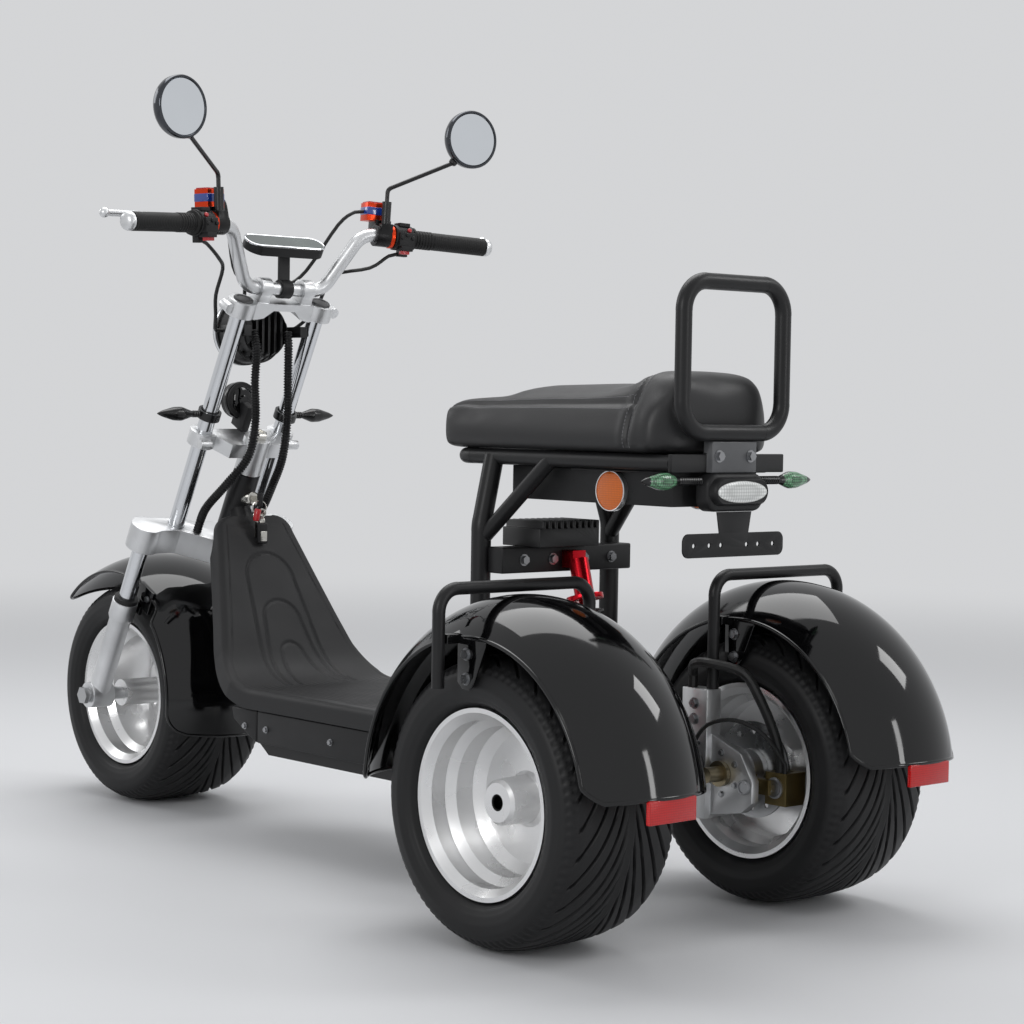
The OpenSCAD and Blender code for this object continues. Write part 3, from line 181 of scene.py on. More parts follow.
# Shrunk film: a dull blue-grey, slightly rippled.
dress(finish("battery_shrink_wrap", "#3b4048", 0.5, grain_mm=5), "battery_block")


# Castings of the fork, the carriers and other hard pieces: aluminium, steel and moulded plastic, whose sharp
# edges are broken by a small round, as tumbling, machining and the mould leave them. They bolt to the frame
# and to the fork tubes.
rear_axle_shift = (668.5, 0, 0)


def metres(spots_mm):
    """Places in mm from the rear axle, turned to the shared frame in metres."""
    return (np.asarray(spots_mm, float) - rear_axle_shift) / 1000


def millimetres(spots):
    """Places in the shared frame, turned to mm from the rear axle."""
    return np.array(spots) * 1000 + rear_axle_shift


def keep(name, parts, made, body, replaces=(), angle=35, edge_mm=0.0):
    """Join meshes given in mm from the rear axle into one piece on a body; sharp edges may be rounded."""
    points, faces = [], []
    for p, f in parts:
        shift = len(points)
        points.extend(metres(p))
        faces.extend([tuple(i + shift for i in face) for face in f])
    mesh = bpy.data.meshes.new(name)
    mesh.from_pydata([tuple(p) for p in points], [], faces)
    work = bmesh.new()
    work.from_mesh(mesh)
    bmesh.ops.remove_doubles(work, verts=work.verts, dist=1e-5)
    bmesh.ops.recalc_face_normals(work, faces=work.faces)
    if edge_mm:
        sharp = [e for e in work.edges if e.is_manifold and e.calc_face_angle(0) > 0.6]
        bmesh.ops.bevel(work, geom=sharp, offset=edge_mm / 1000, segments=3, profile=0.5, affect="EDGES",
                        clamp_overlap=True)
    work.to_mesh(mesh)
    work.free()
    return settle(bpy.data.objects.new(name, mesh), made, body, replaces, angle)


def settle(piece, made, body, replaces=(), angle=35):
    """Link a piece, smooth it, give it its finish and let it ride."""
    bpy.context.scene.collection.objects.link(piece)
    piece.data.materials.clear()
    piece.data.materials.append(made)
    piece.data.polygons.foreach_set("use_smooth", [True] * len(piece.data.polygons))
    piece.data.set_sharp_from_angle(angle=math.radians(angle))
    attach(piece, body)
    if replaces:
        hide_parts(*replaces)
    return piece


def soften(node, made, body, width_mm, segments=2):
    """Stand in for a CAD node with a copy whose edges are rounded."""
    work = bmesh.new()
    work.from_mesh(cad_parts[node].data)
    bmesh.ops.remove_doubles(work, verts=work.verts, dist=1e-5)
    bmesh.ops.dissolve_limit(work, angle_limit=math.radians(1), verts=work.verts, edges=work.edges)
    mesh = bpy.data.meshes.new(node + "_rounded")
    work.to_mesh(mesh)
    work.free()
    rough_cut = bpy.data.objects.new(node + "_cut", mesh)
    bpy.context.scene.collection.objects.link(rough_cut)
    bevel = rough_cut.modifiers.new("edge_round", "BEVEL")
    bevel.width, bevel.segments = width_mm / 1000, segments
    bevel.limit_method, bevel.angle_limit = "ANGLE", math.radians(32)
    bevel.miter_outer = "MITER_ARC"
    done = bpy.data.meshes.new_from_object(rough_cut.evaluated_get(bpy.context.evaluated_depsgraph_get()))
    bpy.data.objects.remove(rough_cut)
    done.name = node + "_rounded"
    return settle(bpy.data.objects.new(node + "_rounded", done), made, body, (node,), 40)


# Cast aluminium: satin and a little cloudy. Brushed aluminium: finer and more even.
cast_aluminium = finish("cast_aluminium", "#d6d7d8", 0.4, metal=1.0, spread=0.1, grain_mm=1.4, bump_mm=0.05)
brushed_aluminium = finish("brushed_aluminium", "#d8d9da", 0.36, metal=1.0, spread=0.06, grain_mm=0.9,
                           bump_mm=0.02)
soften("lower_yoke", cast_aluminium, "steering", 4.0, 3)
soften("middle_clamp", cast_aluminium, "steering", 2.5, 3)
soften("top_clamp", brushed_aluminium, "steering", 3.0, 3)
soften("fork_sliders", cast_aluminium, "steering", 2.0)
soften("axle_carriers", cast_aluminium, "frame", 2.0)
# Chrome: a clean mirror, dark where the scene is dark.
chrome_plate = finish("chrome_plate", "#d9dbde", 0.08, metal=1.0, spread=0.02, grain_mm=6, bump_mm=0.004)
dress(chrome_plate, "upper_fork_tubes", "fork_stanchions")
dress(brushed_aluminium, "handlebar", "brake_levers")
# Turned steel with a straw tint of old plating, and bright zinc on the front axle.
turned_steel = finish("turned_steel", "#8d836c", 0.3, metal=1.0, grain_mm=0.8, bump_mm=0.02)
dress(turned_steel, "rear_axles")
dress(finish("zinc_steel", "#b4b5b6", 0.3, metal=1.0, grain_mm=0.8, bump_mm=0.02), "front_axle")
# Rubber drinks the light; moulded plastic has a fine spark-eroded grain and a soft sheen.
dress(finish("seal_rubber", "#121212", 0.6, grain_mm=1.5, bump_mm=0.03), "fork_seals")
moulded_plastic = finish("moulded_plastic", "#1b1b1c", 0.46, shine=0.3, spread=0.1, grain_mm=0.9,
                         bump_mm=0.06)
soften("side_panels", moulded_plastic, "frame", 3.0, 3)
soften("under_seat_tray", moulded_plastic, "frame", 6.0, 3)
soften("cross_beam", satin_powder_coat, "frame", 3.0, 3)
# Die-cast and painted black: a slightly pitted satin.
black_die_casting = finish("black_die_casting", "#161617", 0.42, grain_mm=1.0, bump_mm=0.05)
soften("motor_controller", black_die_casting, "frame", 1.2)
soften("plate_bracket", satin_powder_coat, "frame", 0.7)
# The tail bracket's back plate is painted a plain satin grey, the arms behind it black.
bracket_paint = finish("grey_bracket_paint", "#57585a", 0.36, grain_mm=1.4, bump_mm=0.04)
plate_half, plate_back = 0.0485, -0.794
tail_plate = soften("tail_bracket", bracket_paint, "frame", 1.8)
tail_plate.data.materials.append(satin_powder_coat)
for face in tail_plate.data.polygons:
    face.material_index = 1 if abs(face.center.y) > plate_half or face.center.x > plate_back else 0
# Red anodising: metal that glows through its dye. Yellow zinc: a blotched, dull brass tint.
red_anodising = finish("red_anodising", "#b3121f", 0.25, metal=0.9, grain_mm=0.8, bump_mm=0.02)
soften("rear_shock", red_anodising, "frame", 1.5)
yellow_zinc = finish("yellow_zinc_plate", "#7a6c48", 0.4, metal=1.0, spread=0.25, grain_mm=3, bump_mm=0.08)
soften("brake_calipers", yellow_zinc, "frame", 3.0, 3)
soften("horn", moulded_plastic, "steering", 2.0)
# Ground steel: bright, with a fine even grain.
ground_steel = finish("ground_disc_steel", "#a3a4a5", 0.28, metal=1.0, grain_mm=0.7, bump_mm=0.02)
dress(ground_steel, "rear_left_disc", "rear_right_disc")


# Wheels: rims of turned and polished aluminium, low rubber tyres pressed on them, and a splined steel bore in
# each rear hub. The lathe leaves fine rings round the axle; real ones lie about 0.4 mm apart and are drawn as
# faint waves about 14 mm apart, so that they still show.
front_axle = (1420, 0, 217)
rear_wheel_y = 280
wave_unit = 0.314  # metres between the waves of a wave node at scale 1


def relief(made, height, depth_mm):
    """Let a pattern, in place of the grain, drive a finish's bump."""
    bump = made.node_tree.nodes["bump"]
    bump.inputs["Distance"].default_value = depth_mm / 1000
    made.node_tree.links.new(height, bump.inputs["Height"])


def turned_rim(name, axle, ring_mm=13.823):
    """Turned aluminium: bright, with rings round the axle that draw the light out in fans."""
    made = finish(name, "#e6e6e6", 0.29, metal=1.0, spread=0.05, grain_mm=3, bump_mm=0.01)
    tree = made.node_tree
    centre = put(tree, "ShaderNodeMapping", {"Location": [-c for c in axle]},
                 {"Vector": tree.nodes["place"].outputs["Object"]})
    rings = put(tree, "ShaderNodeTexWave",
                {"Scale": wave_unit / (ring_mm / 1000), "Distortion": 0.3, "Detail": 1.0},
                {"Vector": centre.outputs["Vector"]}, wave_type="RINGS", rings_direction="Y")
    relief(made, rings.outputs["Fac"], 0.06)
    return made


def bands(rows, sides, closed=False):
    """The faces between rings of points, each ring joined to the next."""
    return [(i * sides + k, i * sides + (k + 1) % sides,
             (i + 1) % rows * sides + (k + 1) % sides, (i + 1) % rows * sides + k)
            for i in range(rows if closed else rows - 1) for k in range(sides)]


def lathe(profile, origin, axis, turns=64):
    """Turn (radius, height) points round an axis; points on the axis close the ends."""
    w = np.asarray(Vector(axis).normalized())
    u = np.cross((0, 0, 1) if abs(w[2]) < 0.9 else (1, 0, 0), w)
    u /= np.linalg.norm(u)
    v = np.cross(w, u)
    a = np.linspace(0, 2 * np.pi, turns, endpoint=False)
    ring = np.cos(a)[:, None] * u + np.sin(a)[:, None] * v
    points = np.concatenate([np.asarray(origin) + r * ring + h * w for r, h in profile])
    return points, bands(len(profile), turns)


def tyre(name, axle, body, node):
    """A low tyre: bead, bulging side with raised rings, and grooves that sweep out to the shoulder."""
    crown, bead, wall_middle, groove_reach = 217, 128.3, 170, 100
    grooves, sweep_back, groove_deep, groove_half, turns = 30, 6.0, 5.0, 3.0, 540
    section = np.array([(bead, 89.7), (141.3, 89.7), (145.5, 97), (150, 103), (160, 109.7), (172.9, 112.5),
                        (188.1, 110.2), (201, 101.8), (210.2, 86.6), (215.1, 59.6), (crown, 22.5)])
    whole = np.concatenate([section, [(crown, 0)], (section * (1, -1))[::-1]])
    steps = np.concatenate([[0], np.cumsum(np.linalg.norm(np.diff(whole, axis=0), axis=1))])
    even = np.linspace(0, steps[-1], 128)
    r, y = (np.interp(even, steps, whole[:, k]) for k in (0, 1))
    r[1:-1] = 0.25 * r[:-2] + 0.5 * r[1:-1] + 0.25 * r[2:]
    u = np.clip(np.abs(y) / groove_reach, 0.004, 1.1)
    lag = sweep_back * np.sqrt(u) - 0.5 * (y < 0)
    start = np.linspace(0, 2 * np.pi, turns, endpoint=False)
    angle = start[:, None] + (lag * 2 * np.pi / grooves)[None, :]
    slope = np.sqrt((grooves / (2 * np.pi * crown)) ** 2
                    + (sweep_back / (2 * np.sqrt(u) * groove_reach)) ** 2)
    off = np.abs((start * grooves / (2 * np.pi)) % 1 - 0.5)[:, None] / slope[None, :]
    fade = np.clip((u - 0.08) / 0.05, 0, 1) * np.clip((0.93 - u) / 0.05, 0, 1)
    cut = groove_deep * np.clip((groove_half - off) / 1.4, 0, 1) * fade[None, :]
    shoulder = ((r > 196) & (r < 208) & (u > 0.94))[None, :]
    ticks = 1.3 * (np.abs((angle * 90 / (2 * np.pi)) % 1 - 0.5) < 0.25) * shoulder
    rings = 0.8 * (np.abs(r - 152) < 1.6) + 0.6 * (np.abs(r - 192) < 1.4)
    out = np.stack([np.gradient(y), -np.gradient(r)], 1)
    out /= np.linalg.norm(out, axis=1)[:, None]
    out *= np.sign(((r - wall_middle) * out[:, 0] + y * out[:, 1]))[:, None]
    lift = rings[None, :] - cut - ticks
    rr = r[None, :] + lift * out[None, :, 0]
    yy = y[None, :] + lift * out[None, :, 1]
    skin = np.stack([axle[0] + rr * np.cos(angle), axle[1] + yy, axle[2] + rr * np.sin(angle)], 2)
    last = angle[:, -1]
    hollow = [(bead, -79.7), (141, -79.7), (173, -102), (206, -56),
              (206, 56), (173, 102), (141, 79.7), (bead, 79.7)]
    inner = np.stack([np.stack([axle[0] + q * np.cos(last), np.full(turns, axle[1] + h),
                                axle[2] + q * np.sin(last)], 1) for q, h in hollow], 1)
    grid = np.concatenate([skin, inner], 1)
    faces = [(a, d, c, b) for a, b, c, d in bands(turns, grid.shape[1], True)]
    return keep(name, [(grid.reshape(-1, 3), faces)], tyre_rubber, body, (node,), 40)


def spline(name, middle, outer, body):
    """A toothed bore in a hub, its teeth and floor disc near black as painted shade in the hole."""
    points, wall, tip, root = 96, 12.4, 11.3, 9.6
    floor_at, mouth = 51.4, 62
    turn = np.linspace(0, 2 * np.pi, points, endpoint=False)
    toothed = np.where(np.arange(points) % 4 < 2, tip, root)
    rings = [[(middle[0] + r * math.cos(a), middle[1] + outer * h, middle[2] + r * math.sin(a))
              for r, a in zip(np.broadcast_to(radius, points), turn)]
             for radius, h in ((wall, floor_at), (wall, mouth), (toothed, mouth), (toothed, floor_at))]
    base = lathe([(0, 51.3), (wall, 51.3), (wall, 52.3), (0, 52.3)], middle, (0, outer, 0), 32)
    keep(name, [(np.concatenate(rings), bands(4, points, True)), base], bore_shade_steel, body)


# Tyre rubber: a dusty near-black with a soft sheen. Bore steel: near black as painted shade in the hole, with
# small bright edges.
tyre_rubber = finish("tyre_rubber", "#1a1a1b", 0.5, shine=0.3, spread=0.2, grain_mm=1.2, bump_mm=0.05)
bore_shade_steel = finish("bore_steel_painted_shade", "#1c1b1a", 0.3, metal=0.8, grain_mm=0.8)
for side, axle, outer in [("front", front_axle, 0), ("rear_left", (0, rear_wheel_y, front_axle[2]), 1),
                          ("rear_right", (0, -rear_wheel_y, front_axle[2]), -1)]:
    dress(turned_rim(side + "_turned_aluminium", metres(axle)), side + "_rim")
    tyre(side + "_tread", axle, side + "_wheel", side + "_tyre")
    if outer:
        spline(side + "_spline", axle, outer, side + "_wheel")


# Rear fenders: pressed steel in deep gloss black. Each is a thin domed skin over its wheel with a rolled lip
# round its edge, and is held on both sides by bolted tabs under the guard hoops.
def sweep(path, radius, sides=12, closed=False):
    """A round bar along a path; radius is a number or one for each point."""
    path = np.asarray(path, float)
    n = len(path)
    way = np.roll(path, -1, 0) - np.roll(path, 1, 0) if closed else np.gradient(path, axis=0)
    way /= np.linalg.norm(way, axis=1)[:, None]
    u = np.cross(way[0], (0.31, 0.52, 0.79))
    rings = []
    turn = np.linspace(0, 2 * np.pi, sides, endpoint=False)
    for p, w, r in zip(path, way, np.broadcast_to(radius, n)):
        u = u - w * np.dot(u, w)
        u /= np.linalg.norm(u)
        rings.append(p + r * (np.cos(turn)[:, None] * u + np.sin(turn)[:, None] * np.cross(w, u)))
    faces = bands(n, sides, closed)
    if not closed:
        faces += [tuple(range(sides))[::-1], tuple(range((n - 1) * sides, n * sides))]
    return np.concatenate(rings), faces


def shell(grid, thick):
    """A closed sheet: the grid, and a copy of it set in by the thickness."""
    face_way = np.cross(np.gradient(grid, axis=0), np.gradient(grid, axis=1))
    face_way /= np.linalg.norm(face_way, axis=2)[..., None]
    m, n = grid.shape[:2]
    top = np.arange(m * n).reshape(m, n)
    low = top + m * n
    faces = []
    for i in range(m - 1):
        for j in range(n - 1):
            faces.append((top[i, j], top[i + 1, j], top[i + 1, j + 1], top[i, j + 1]))
            faces.append((low[i, j], low[i, j + 1], low[i + 1, j + 1], low[i + 1, j]))
    for a, b in [(top[0], low[0]), (top[-1], low[-1]), (top[:, 0], low[:, 0]), (top[:, -1], low[:, -1])]:
        faces += [(a[k], a[k + 1], b[k + 1], b[k]) for k in range(len(a) - 1)]
    return np.concatenate([grid.reshape(-1, 3), (grid - thick * face_way).reshape(-1, 3)]), faces


def fender(axle, crown, arch, degrees, half_at, rows=130, cols=56):
    """A fender's skin and lip over an axle: angles run forward of the top, the width changes along it."""
    sheet_mm, lip_mm, lip_inset = 2.6, 3.3, 2.0
    grid = np.zeros((rows, cols, 3))
    for i, deg in enumerate(np.linspace(*degrees, rows)):
        a = math.radians(deg)
        for j, v in enumerate(np.linspace(-1, 1, cols)):
            y = v * half_at(deg)
            r = crown - arch + math.sqrt(arch ** 2 - y * y)
            grid[i, j] = (axle[0] + r * math.sin(a), axle[1] + y, axle[2] + r * math.cos(a))
    edge = np.concatenate([grid[:, 0], grid[-1, 1:], grid[-2::-1, -1], grid[0, -2:0:-1]])
    away = edge * (1, 0, 1) - np.array(axle) * (1, 0, 1)
    edge = edge - lip_inset * away / np.linalg.norm(away, axis=1)[:, None]
    return [shell(grid, -sheet_mm), sweep(edge, lip_mm, 12, True)]


def loft(rings):
    """A closed solid through rings of equal count, with flat ends."""
    n, m = len(rings[0]), len(rings)
    return np.concatenate(rings), bands(m, n) + [tuple(range(n))[::-1], tuple(range((m - 1) * n, m * n))]


def slab(low, high):
    """A box between two corners."""
    spots = [(x, y, z) for z in (low[2], high[2]) for y in (low[1], high[1]) for x in (low[0], high[0])]
    return spots, [(0, 1, 3, 2), (4, 6, 7, 5), (0, 4, 5, 1), (2, 3, 7, 6), (0, 2, 6, 4), (1, 5, 7, 3)]


def rear_half(deg):
    """Half the width of a rear fender: the back corners are rounded to 46 mm, the front ones to 12 mm."""
    full, back_corner, front_corner = 118, 46, 12
    height = 246.8 * math.cos(math.radians(deg))
    sunk = max(74.4 - height, 0)
    back = 75 + math.sqrt(max(back_corner ** 2 - sunk ** 2, 0)) if deg < 0 else full
    front = 106 + front_corner * math.sqrt(max(1 - max((deg - 85) / 3, 0) ** 2, 0))
    return min(back, front, full)


# Lacquer over pressed steel: deep black that mirrors the boxes as clean pale shapes.
gloss_black = finish("gloss_black_lacquer", "#060607", 0.06, spread=0.1, grain_mm=9, bump_mm=0.004)
tab_z, tab_thick = 451.8, 4
tab_outline = [(-4, 10), (-4, -56), (-16, -66), (-32, -66), (-42, -54), (-66, 0), (-66, 6)]
skins, tabs = [], []
for side in (-1, 1):
    skins += fender((0, side * rear_wheel_y, front_axle[2]), 303, 152, (88, -82), rear_half)
    for low, high in ((146.8, 166), (394, 424.2)):
        tabs.append(slab((22, side * low, tab_z), (38, side * high, tab_z + 14)))
    for face in (158.4, 397.6):
        tabs.append(loft([[(30 + x, side * (face + deep), tab_z + z) for x, z in tab_outline]
                          for deep in (0, tab_thick)]))
keep("rear_fender_skins", skins, gloss_black, "frame", ("rear_fenders",), 50)
keep("rear_fender_straps", tabs, gloss_black, "frame", edge_mm=1.4)


# Front fender: the same gloss black pressing over the front wheel, wider behind the fork. A welded bracket on
# each side holds it to the fork's slider.
rake = math.radians(27)


def fork_at(forward, y, up):
    """A place by the fork, in mm ahead of its legs, to the left and up along them."""
    return (front_axle[0] + forward * math.cos(rake) - up * math.sin(rake), y,
            front_axle[2] + forward * math.sin(rake) + up * math.cos(rake))


def front_half(deg):
    """Rounded corners in front, a skirt that widens behind the fork, rounded corners at its foot."""
    behind = np.clip((-40 - deg) / 9, 0, 1)
    wide = 119 + 20 * behind ** 2 * (3 - 2 * behind)
    tip = 92 + 27 * math.sqrt(max(1 - max((deg - 40) / 6, 0) ** 2, 0))
    foot = 104 + 35 * math.sqrt(max(1 - max((-93 - deg) / 10, 0) ** 2, 0))
    return float(min(wide, foot) if deg < 0 else min(wide, tip))


keep("front_fender_skin", fender(front_axle, 275, 233, (46, -103), front_half), gloss_black, "steering",
     ("front_fender",), 50)
brackets = []
for side in (-1, 1):
    for low, high in (((-40, 115, 205), (10, 123, 252)), ((-12, 115, 187), (10, 123, 213)),
                      ((-6, 119, 191), (6, 126.7, 207))):
        spots, faces = slab(low, high)
        brackets.append(([fork_at(f, side * y, u) for f, y, u in spots], faces))
keep("front_fender_brackets", brackets, gloss_black, "steering", edge_mm=1.2)


# Floor mat and leg shield: one sheet of black moulded rubber with a rounded border, three nested arches
# pressed in the shield and long wavy ribs on the deck. It lies on the frame: a grid is bent along the shield
# and the deck and given its thickness.
shield_lean, bend_radius, deck_z, bend_x = math.radians(62), 133, 280, 880.1
straight, arc, flat = 257.6, bend_radius * shield_lean, 480.1
mat_long = 881.6
middle_share, edge_share, turn_share = 0.78, 0.22, 0.55
mat_corner, mat_thick, shield_corner = 9.0, 2.6, 26
shield_top, shield_drops, shield_halves = 578, [0, 30, 121, 186, 239, 285], [80, 86, 112, 131, 148, 168]
arch_foot = 392
bends = []
for top, wide, flare in [(78, 52, 0.10), (176, 40, 0.16), (262, 24, 0.22)]:
    bend = [(top + wide * (1 - math.cos(a)), wide * math.sin(a)) for a in np.linspace(0, np.pi / 2, 40)]
    bend += [(s, wide + flare * (s - top - wide)) for s in np.linspace(top + wide, arch_foot, 90)[1:]]
    bends.append(np.array(bend))


def mat_line(s):
    """Where the mat's middle line is, as x and z, after a run from its top, and its lean there."""
    if s < straight:
        left = 337.5 - s
        spot = (960 + math.cos(shield_lean) * left, deck_z + math.sin(shield_lean) * left)
        return np.array(spot), shield_lean
    if s < straight + arc:
        a = shield_lean - (s - straight) / bend_radius
        spot = (bend_x + bend_radius * math.sin(a), deck_z + bend_radius - bend_radius * math.cos(a))
        return np.array(spot), a
    return np.array([bend_x - (s - straight - arc), float(deck_z)]), 0.0


def mat_pressing(s, y, half):
    """How deep the arches, the groove inside the border and the deck's ribs are at a place."""
    near = min(np.min(np.hypot(b[:, 0] - s, b[:, 1] - abs(y))) for b in bends)
    inset = min(half - abs(y), s, mat_long - s)
    arches = 2.2 * max(0.0, min(1.0, (4.2 - near) / 1.8))
    groove = 1.0 * max(0.0, 1 - abs(inset - 17) / 2.2)
    on_deck = min(max((s - straight - arc + 20) / 30, 0), 1) * min(max((inset - 22) / 3, 0), 1)
    ribs = 0.5 + 0.5 * math.cos(2 * math.pi * (y + 3.0 * math.sin(s / 26)) / 12)
    return arches + groove + on_deck * 2.0 * ribs


run = np.linspace(0, straight + arc + flat, 330)
around = np.concatenate([np.linspace(-1, -middle_share, 9)[:-1],
                         np.linspace(-middle_share, middle_share, 130),
                         np.linspace(middle_share, 1, 9)[1:]])
mat_grid = np.zeros((len(run), len(around), 3))
for i, s in enumerate(run):
    spot, lean = mat_line(s)
    out = np.array([-math.sin(lean), math.cos(lean)])
    half = np.interp(shield_top - spot[1], shield_drops, shield_halves) - 0.2
    half -= shield_corner - math.sqrt(shield_corner ** 2 - max(shield_corner - s, 0) ** 2)
    skirt = 12 + 21 * min(s / 70, 1) ** 2
    for j, v in enumerate(around):
        t = (abs(v) - middle_share) / edge_share
        if abs(v) <= middle_share:
            y = v / middle_share * (half - mat_corner)
            drop = mat_pressing(s, y, half)
        elif t < turn_share:
            a = t / turn_share * math.pi / 2
            y = math.copysign(1, v) * (half - mat_corner + mat_corner * math.sin(a))
            drop = mat_corner * (1 - math.cos(a))
        else:
            y = math.copysign(1, v) * half
            drop = mat_corner + (t - turn_share) / (1 - turn_share) * (skirt - mat_corner)
        mat_grid[i, j] = (spot[0] - out[0] * drop, y, spot[1] - out[1] * drop)
# Moulded rubber: dull charcoal with a fine tooth, so the pressed lines show by their shade alone.
mat_rubber = finish("mat_rubber", "#232324", 0.52, shine=0.3, spread=0.12, grain_mm=1.1, bump_mm=0.08)
keep("mat_and_shield", [shell(mat_grid, mat_thick)], mat_rubber, "frame", ("floor_mat",), 60)


# Seat: one long cushion of black leathercloth over foam, with a raised passenger hump and a rear roll.
# The cover is the part's own solid, remeshed, blown up against its foam as cloth, then drawn in along its
# seams.
seat = bpy.data.objects.new("seat_cover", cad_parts["seat_cushion"].data.copy())
bpy.context.scene.collection.objects.link(seat)
work = bmesh.new()
work.from_mesh(seat.data)
bmesh.ops.remove_doubles(work, verts=work.verts, dist=1e-5)
bmesh.ops.recalc_face_normals(work, faces=work.faces)
work.to_mesh(seat.data)
work.free()
even_skin = seat.modifiers.new("even_skin", "REMESH")
even_skin.mode, even_skin.voxel_size = "VOXEL", 0.005
ease = seat.modifiers.new("ease", "SMOOTH")
ease.iterations, ease.factor = 30, 0.5


def bake(piece):
    """Replace a piece's mesh by the result of its modifiers."""
    done = bpy.data.meshes.new_from_object(piece.evaluated_get(bpy.context.evaluated_depsgraph_get()))
    piece.modifiers.clear()
    piece.data = done


bake(seat)
base_top, blow_limit, cloth_frames = 0.737, 0.006, 20
rest = np.array([v.co for v in seat.data.vertices])
held = seat.vertex_groups.new(name="base")
held.add([i for i, p in enumerate(rest) if p[2] < base_top], 1.0, "REPLACE")
cloth = seat.modifiers.new("cloth", "CLOTH")
cloth.settings.use_pressure = True
cloth.settings.uniform_pressure_force = 4.0
cloth.settings.effector_weights.gravity = 0.0
cloth.settings.vertex_group_mass = "base"
cloth.settings.tension_stiffness = cloth.settings.compression_stiffness = 90
cloth.settings.bending_stiffness = 6
cloth.point_cache.frame_start, cloth.point_cache.frame_end = 1, cloth_frames
for moment in range(1, cloth_frames + 1):
    bpy.context.scene.frame_set(moment)
bake(seat)
bpy.context.scene.frame_set(1)
step = np.array([v.co for v in seat.data.vertices]) - rest
moved = np.linalg.norm(step, axis=1)[:, None]
blown = rest + step * np.minimum(1, blow_limit / np.maximum(moved, 1e-9))
seat.data.vertices.foreach_set("co", blown.ravel())
taut = seat.modifiers.new("taut", "SMOOTH")
taut.iterations, taut.factor = 34, 0.5
bake(seat)
fine = seat.modifiers.new("fine", "SUBSURF")
fine.levels = fine.render_levels = 1
bake(seat)


def ramp(value, low, high):
    """A smooth step from 0 at low to 1 at high."""
    k = np.clip((value - low) / (high - low), 0, 1)
    return k * k * (3 - 2 * k)


side_seam_y, cross_seam_x = 110, -34
seam_deep, seam_wide, puff, puff_off, puff_wide = 3.4, 4.2, 1.3, 13, 8
spots = np.array([v.co for v in seat.data.vertices]) * 1000
norms = np.array([v.normal for v in seat.data.vertices])
x, y, facing = spots[:, 0] + rear_axle_shift[0], spots[:, 1], norms[:, 2]
on_sides = ramp(facing, -0.1, 0.4) * ramp(x, -48, -20) * ramp(x, 412, 392)
on_cross = ramp(facing, -0.6, -0.2)
dip = np.zeros(len(spots))
for reach, share in ((np.abs(np.abs(y) - side_seam_y), on_sides), (np.abs(x - cross_seam_x), on_cross)):
    dip += share * (seam_deep * np.exp(-(reach / seam_wide) ** 2)
                    - puff * np.exp(-((reach - puff_off) / puff_wide) ** 2))
spots -= norms * dip[:, None]
seat.data.vertices.foreach_set("co", (spots / 1000).ravel())
# Leathercloth: soft black with a pebbled skin that catches a broad, broken sheen.
leather = finish("black_leathercloth", "#202021", 0.44, shine=0.45, spread=0.12, grain_mm=1.8, bump_mm=0.12)
pebble_mm = 2.2
pores = put(leather.node_tree, "ShaderNodeTexVoronoi", {"Scale": 1000 / pebble_mm},
            {"Vector": leather.node_tree.nodes["place"].outputs["Object"]})
relief(leather, pores.outputs["Distance"], 0.12)
bpy.context.scene.collection.objects.unlink(seat)
settle(seat, leather, "frame", ("seat_cushion",), 80)


# Stitches: two rows of grey waxed thread beside each seam of the seat. Points are laid on the cover and a
# node tree sets one small thread on each of them.
def repeater(name, make_item):
    """A node tree that sets an item on each point, its Z along the point's facing and its X along its run."""
    tree = bpy.data.node_groups.new(name, "GeometryNodeTree")
    for label, kind, way in [("Geometry", "NodeSocketGeometry", "INPUT"),
                             ("Size", "NodeSocketFloat", "INPUT"), ("Finish", "NodeSocketMaterial", "INPUT"),
                             ("Geometry", "NodeSocketGeometry", "OUTPUT")]:
        tree.interface.new_socket(label, in_out=way, socket_type=kind)
    given = put(tree, "NodeGroupInput")
    item = make_item(tree, given)
    facing, along = (put(tree, "GeometryNodeInputNamedAttribute", {"Name": label}, data_type="FLOAT_VECTOR")
                     for label in ("facing", "along"))
    stand = put(tree, "FunctionNodeAlignRotationToVector", {}, {"Vector": facing.outputs[0]}, axis="Z")
    turned = put(tree, "FunctionNodeAlignRotationToVector", {},
                 {"Rotation": stand.outputs[0], "Vector": along.outputs[0]}, axis="X", pivot_axis="Z")
    laid = put(tree, "GeometryNodeInstanceOnPoints", {},
               {"Points": given.outputs["Geometry"], "Instance": item, "Rotation": turned.outputs[0]})
    real = put(tree, "GeometryNodeRealizeInstances", {}, {"Geometry": laid.outputs[0]})
    coloured = put(tree, "GeometryNodeSetMaterial", {},
                   {"Geometry": real.outputs[0], "Material": given.outputs["Finish"]})
    put(tree, "NodeGroupOutput", {}, {"Geometry": coloured.outputs[0]})
    return tree


def thread(tree, given):
    """A stitch: a ball drawn out to a short grain."""
    ball = put(tree, "GeometryNodeMeshUVSphere", {"Segments": 8, "Rings": 5, "Radius": 1.0})
    size = put(tree, "ShaderNodeVectorMath", {0: (1.0, 0.2, 0.16)}, {"Scale": given.outputs["Size"]},
               operation="SCALE")
    return put(tree, "GeometryNodeTransform", {},
               {"Geometry": ball.outputs[0], "Scale": size.outputs[0]}).outputs[0]


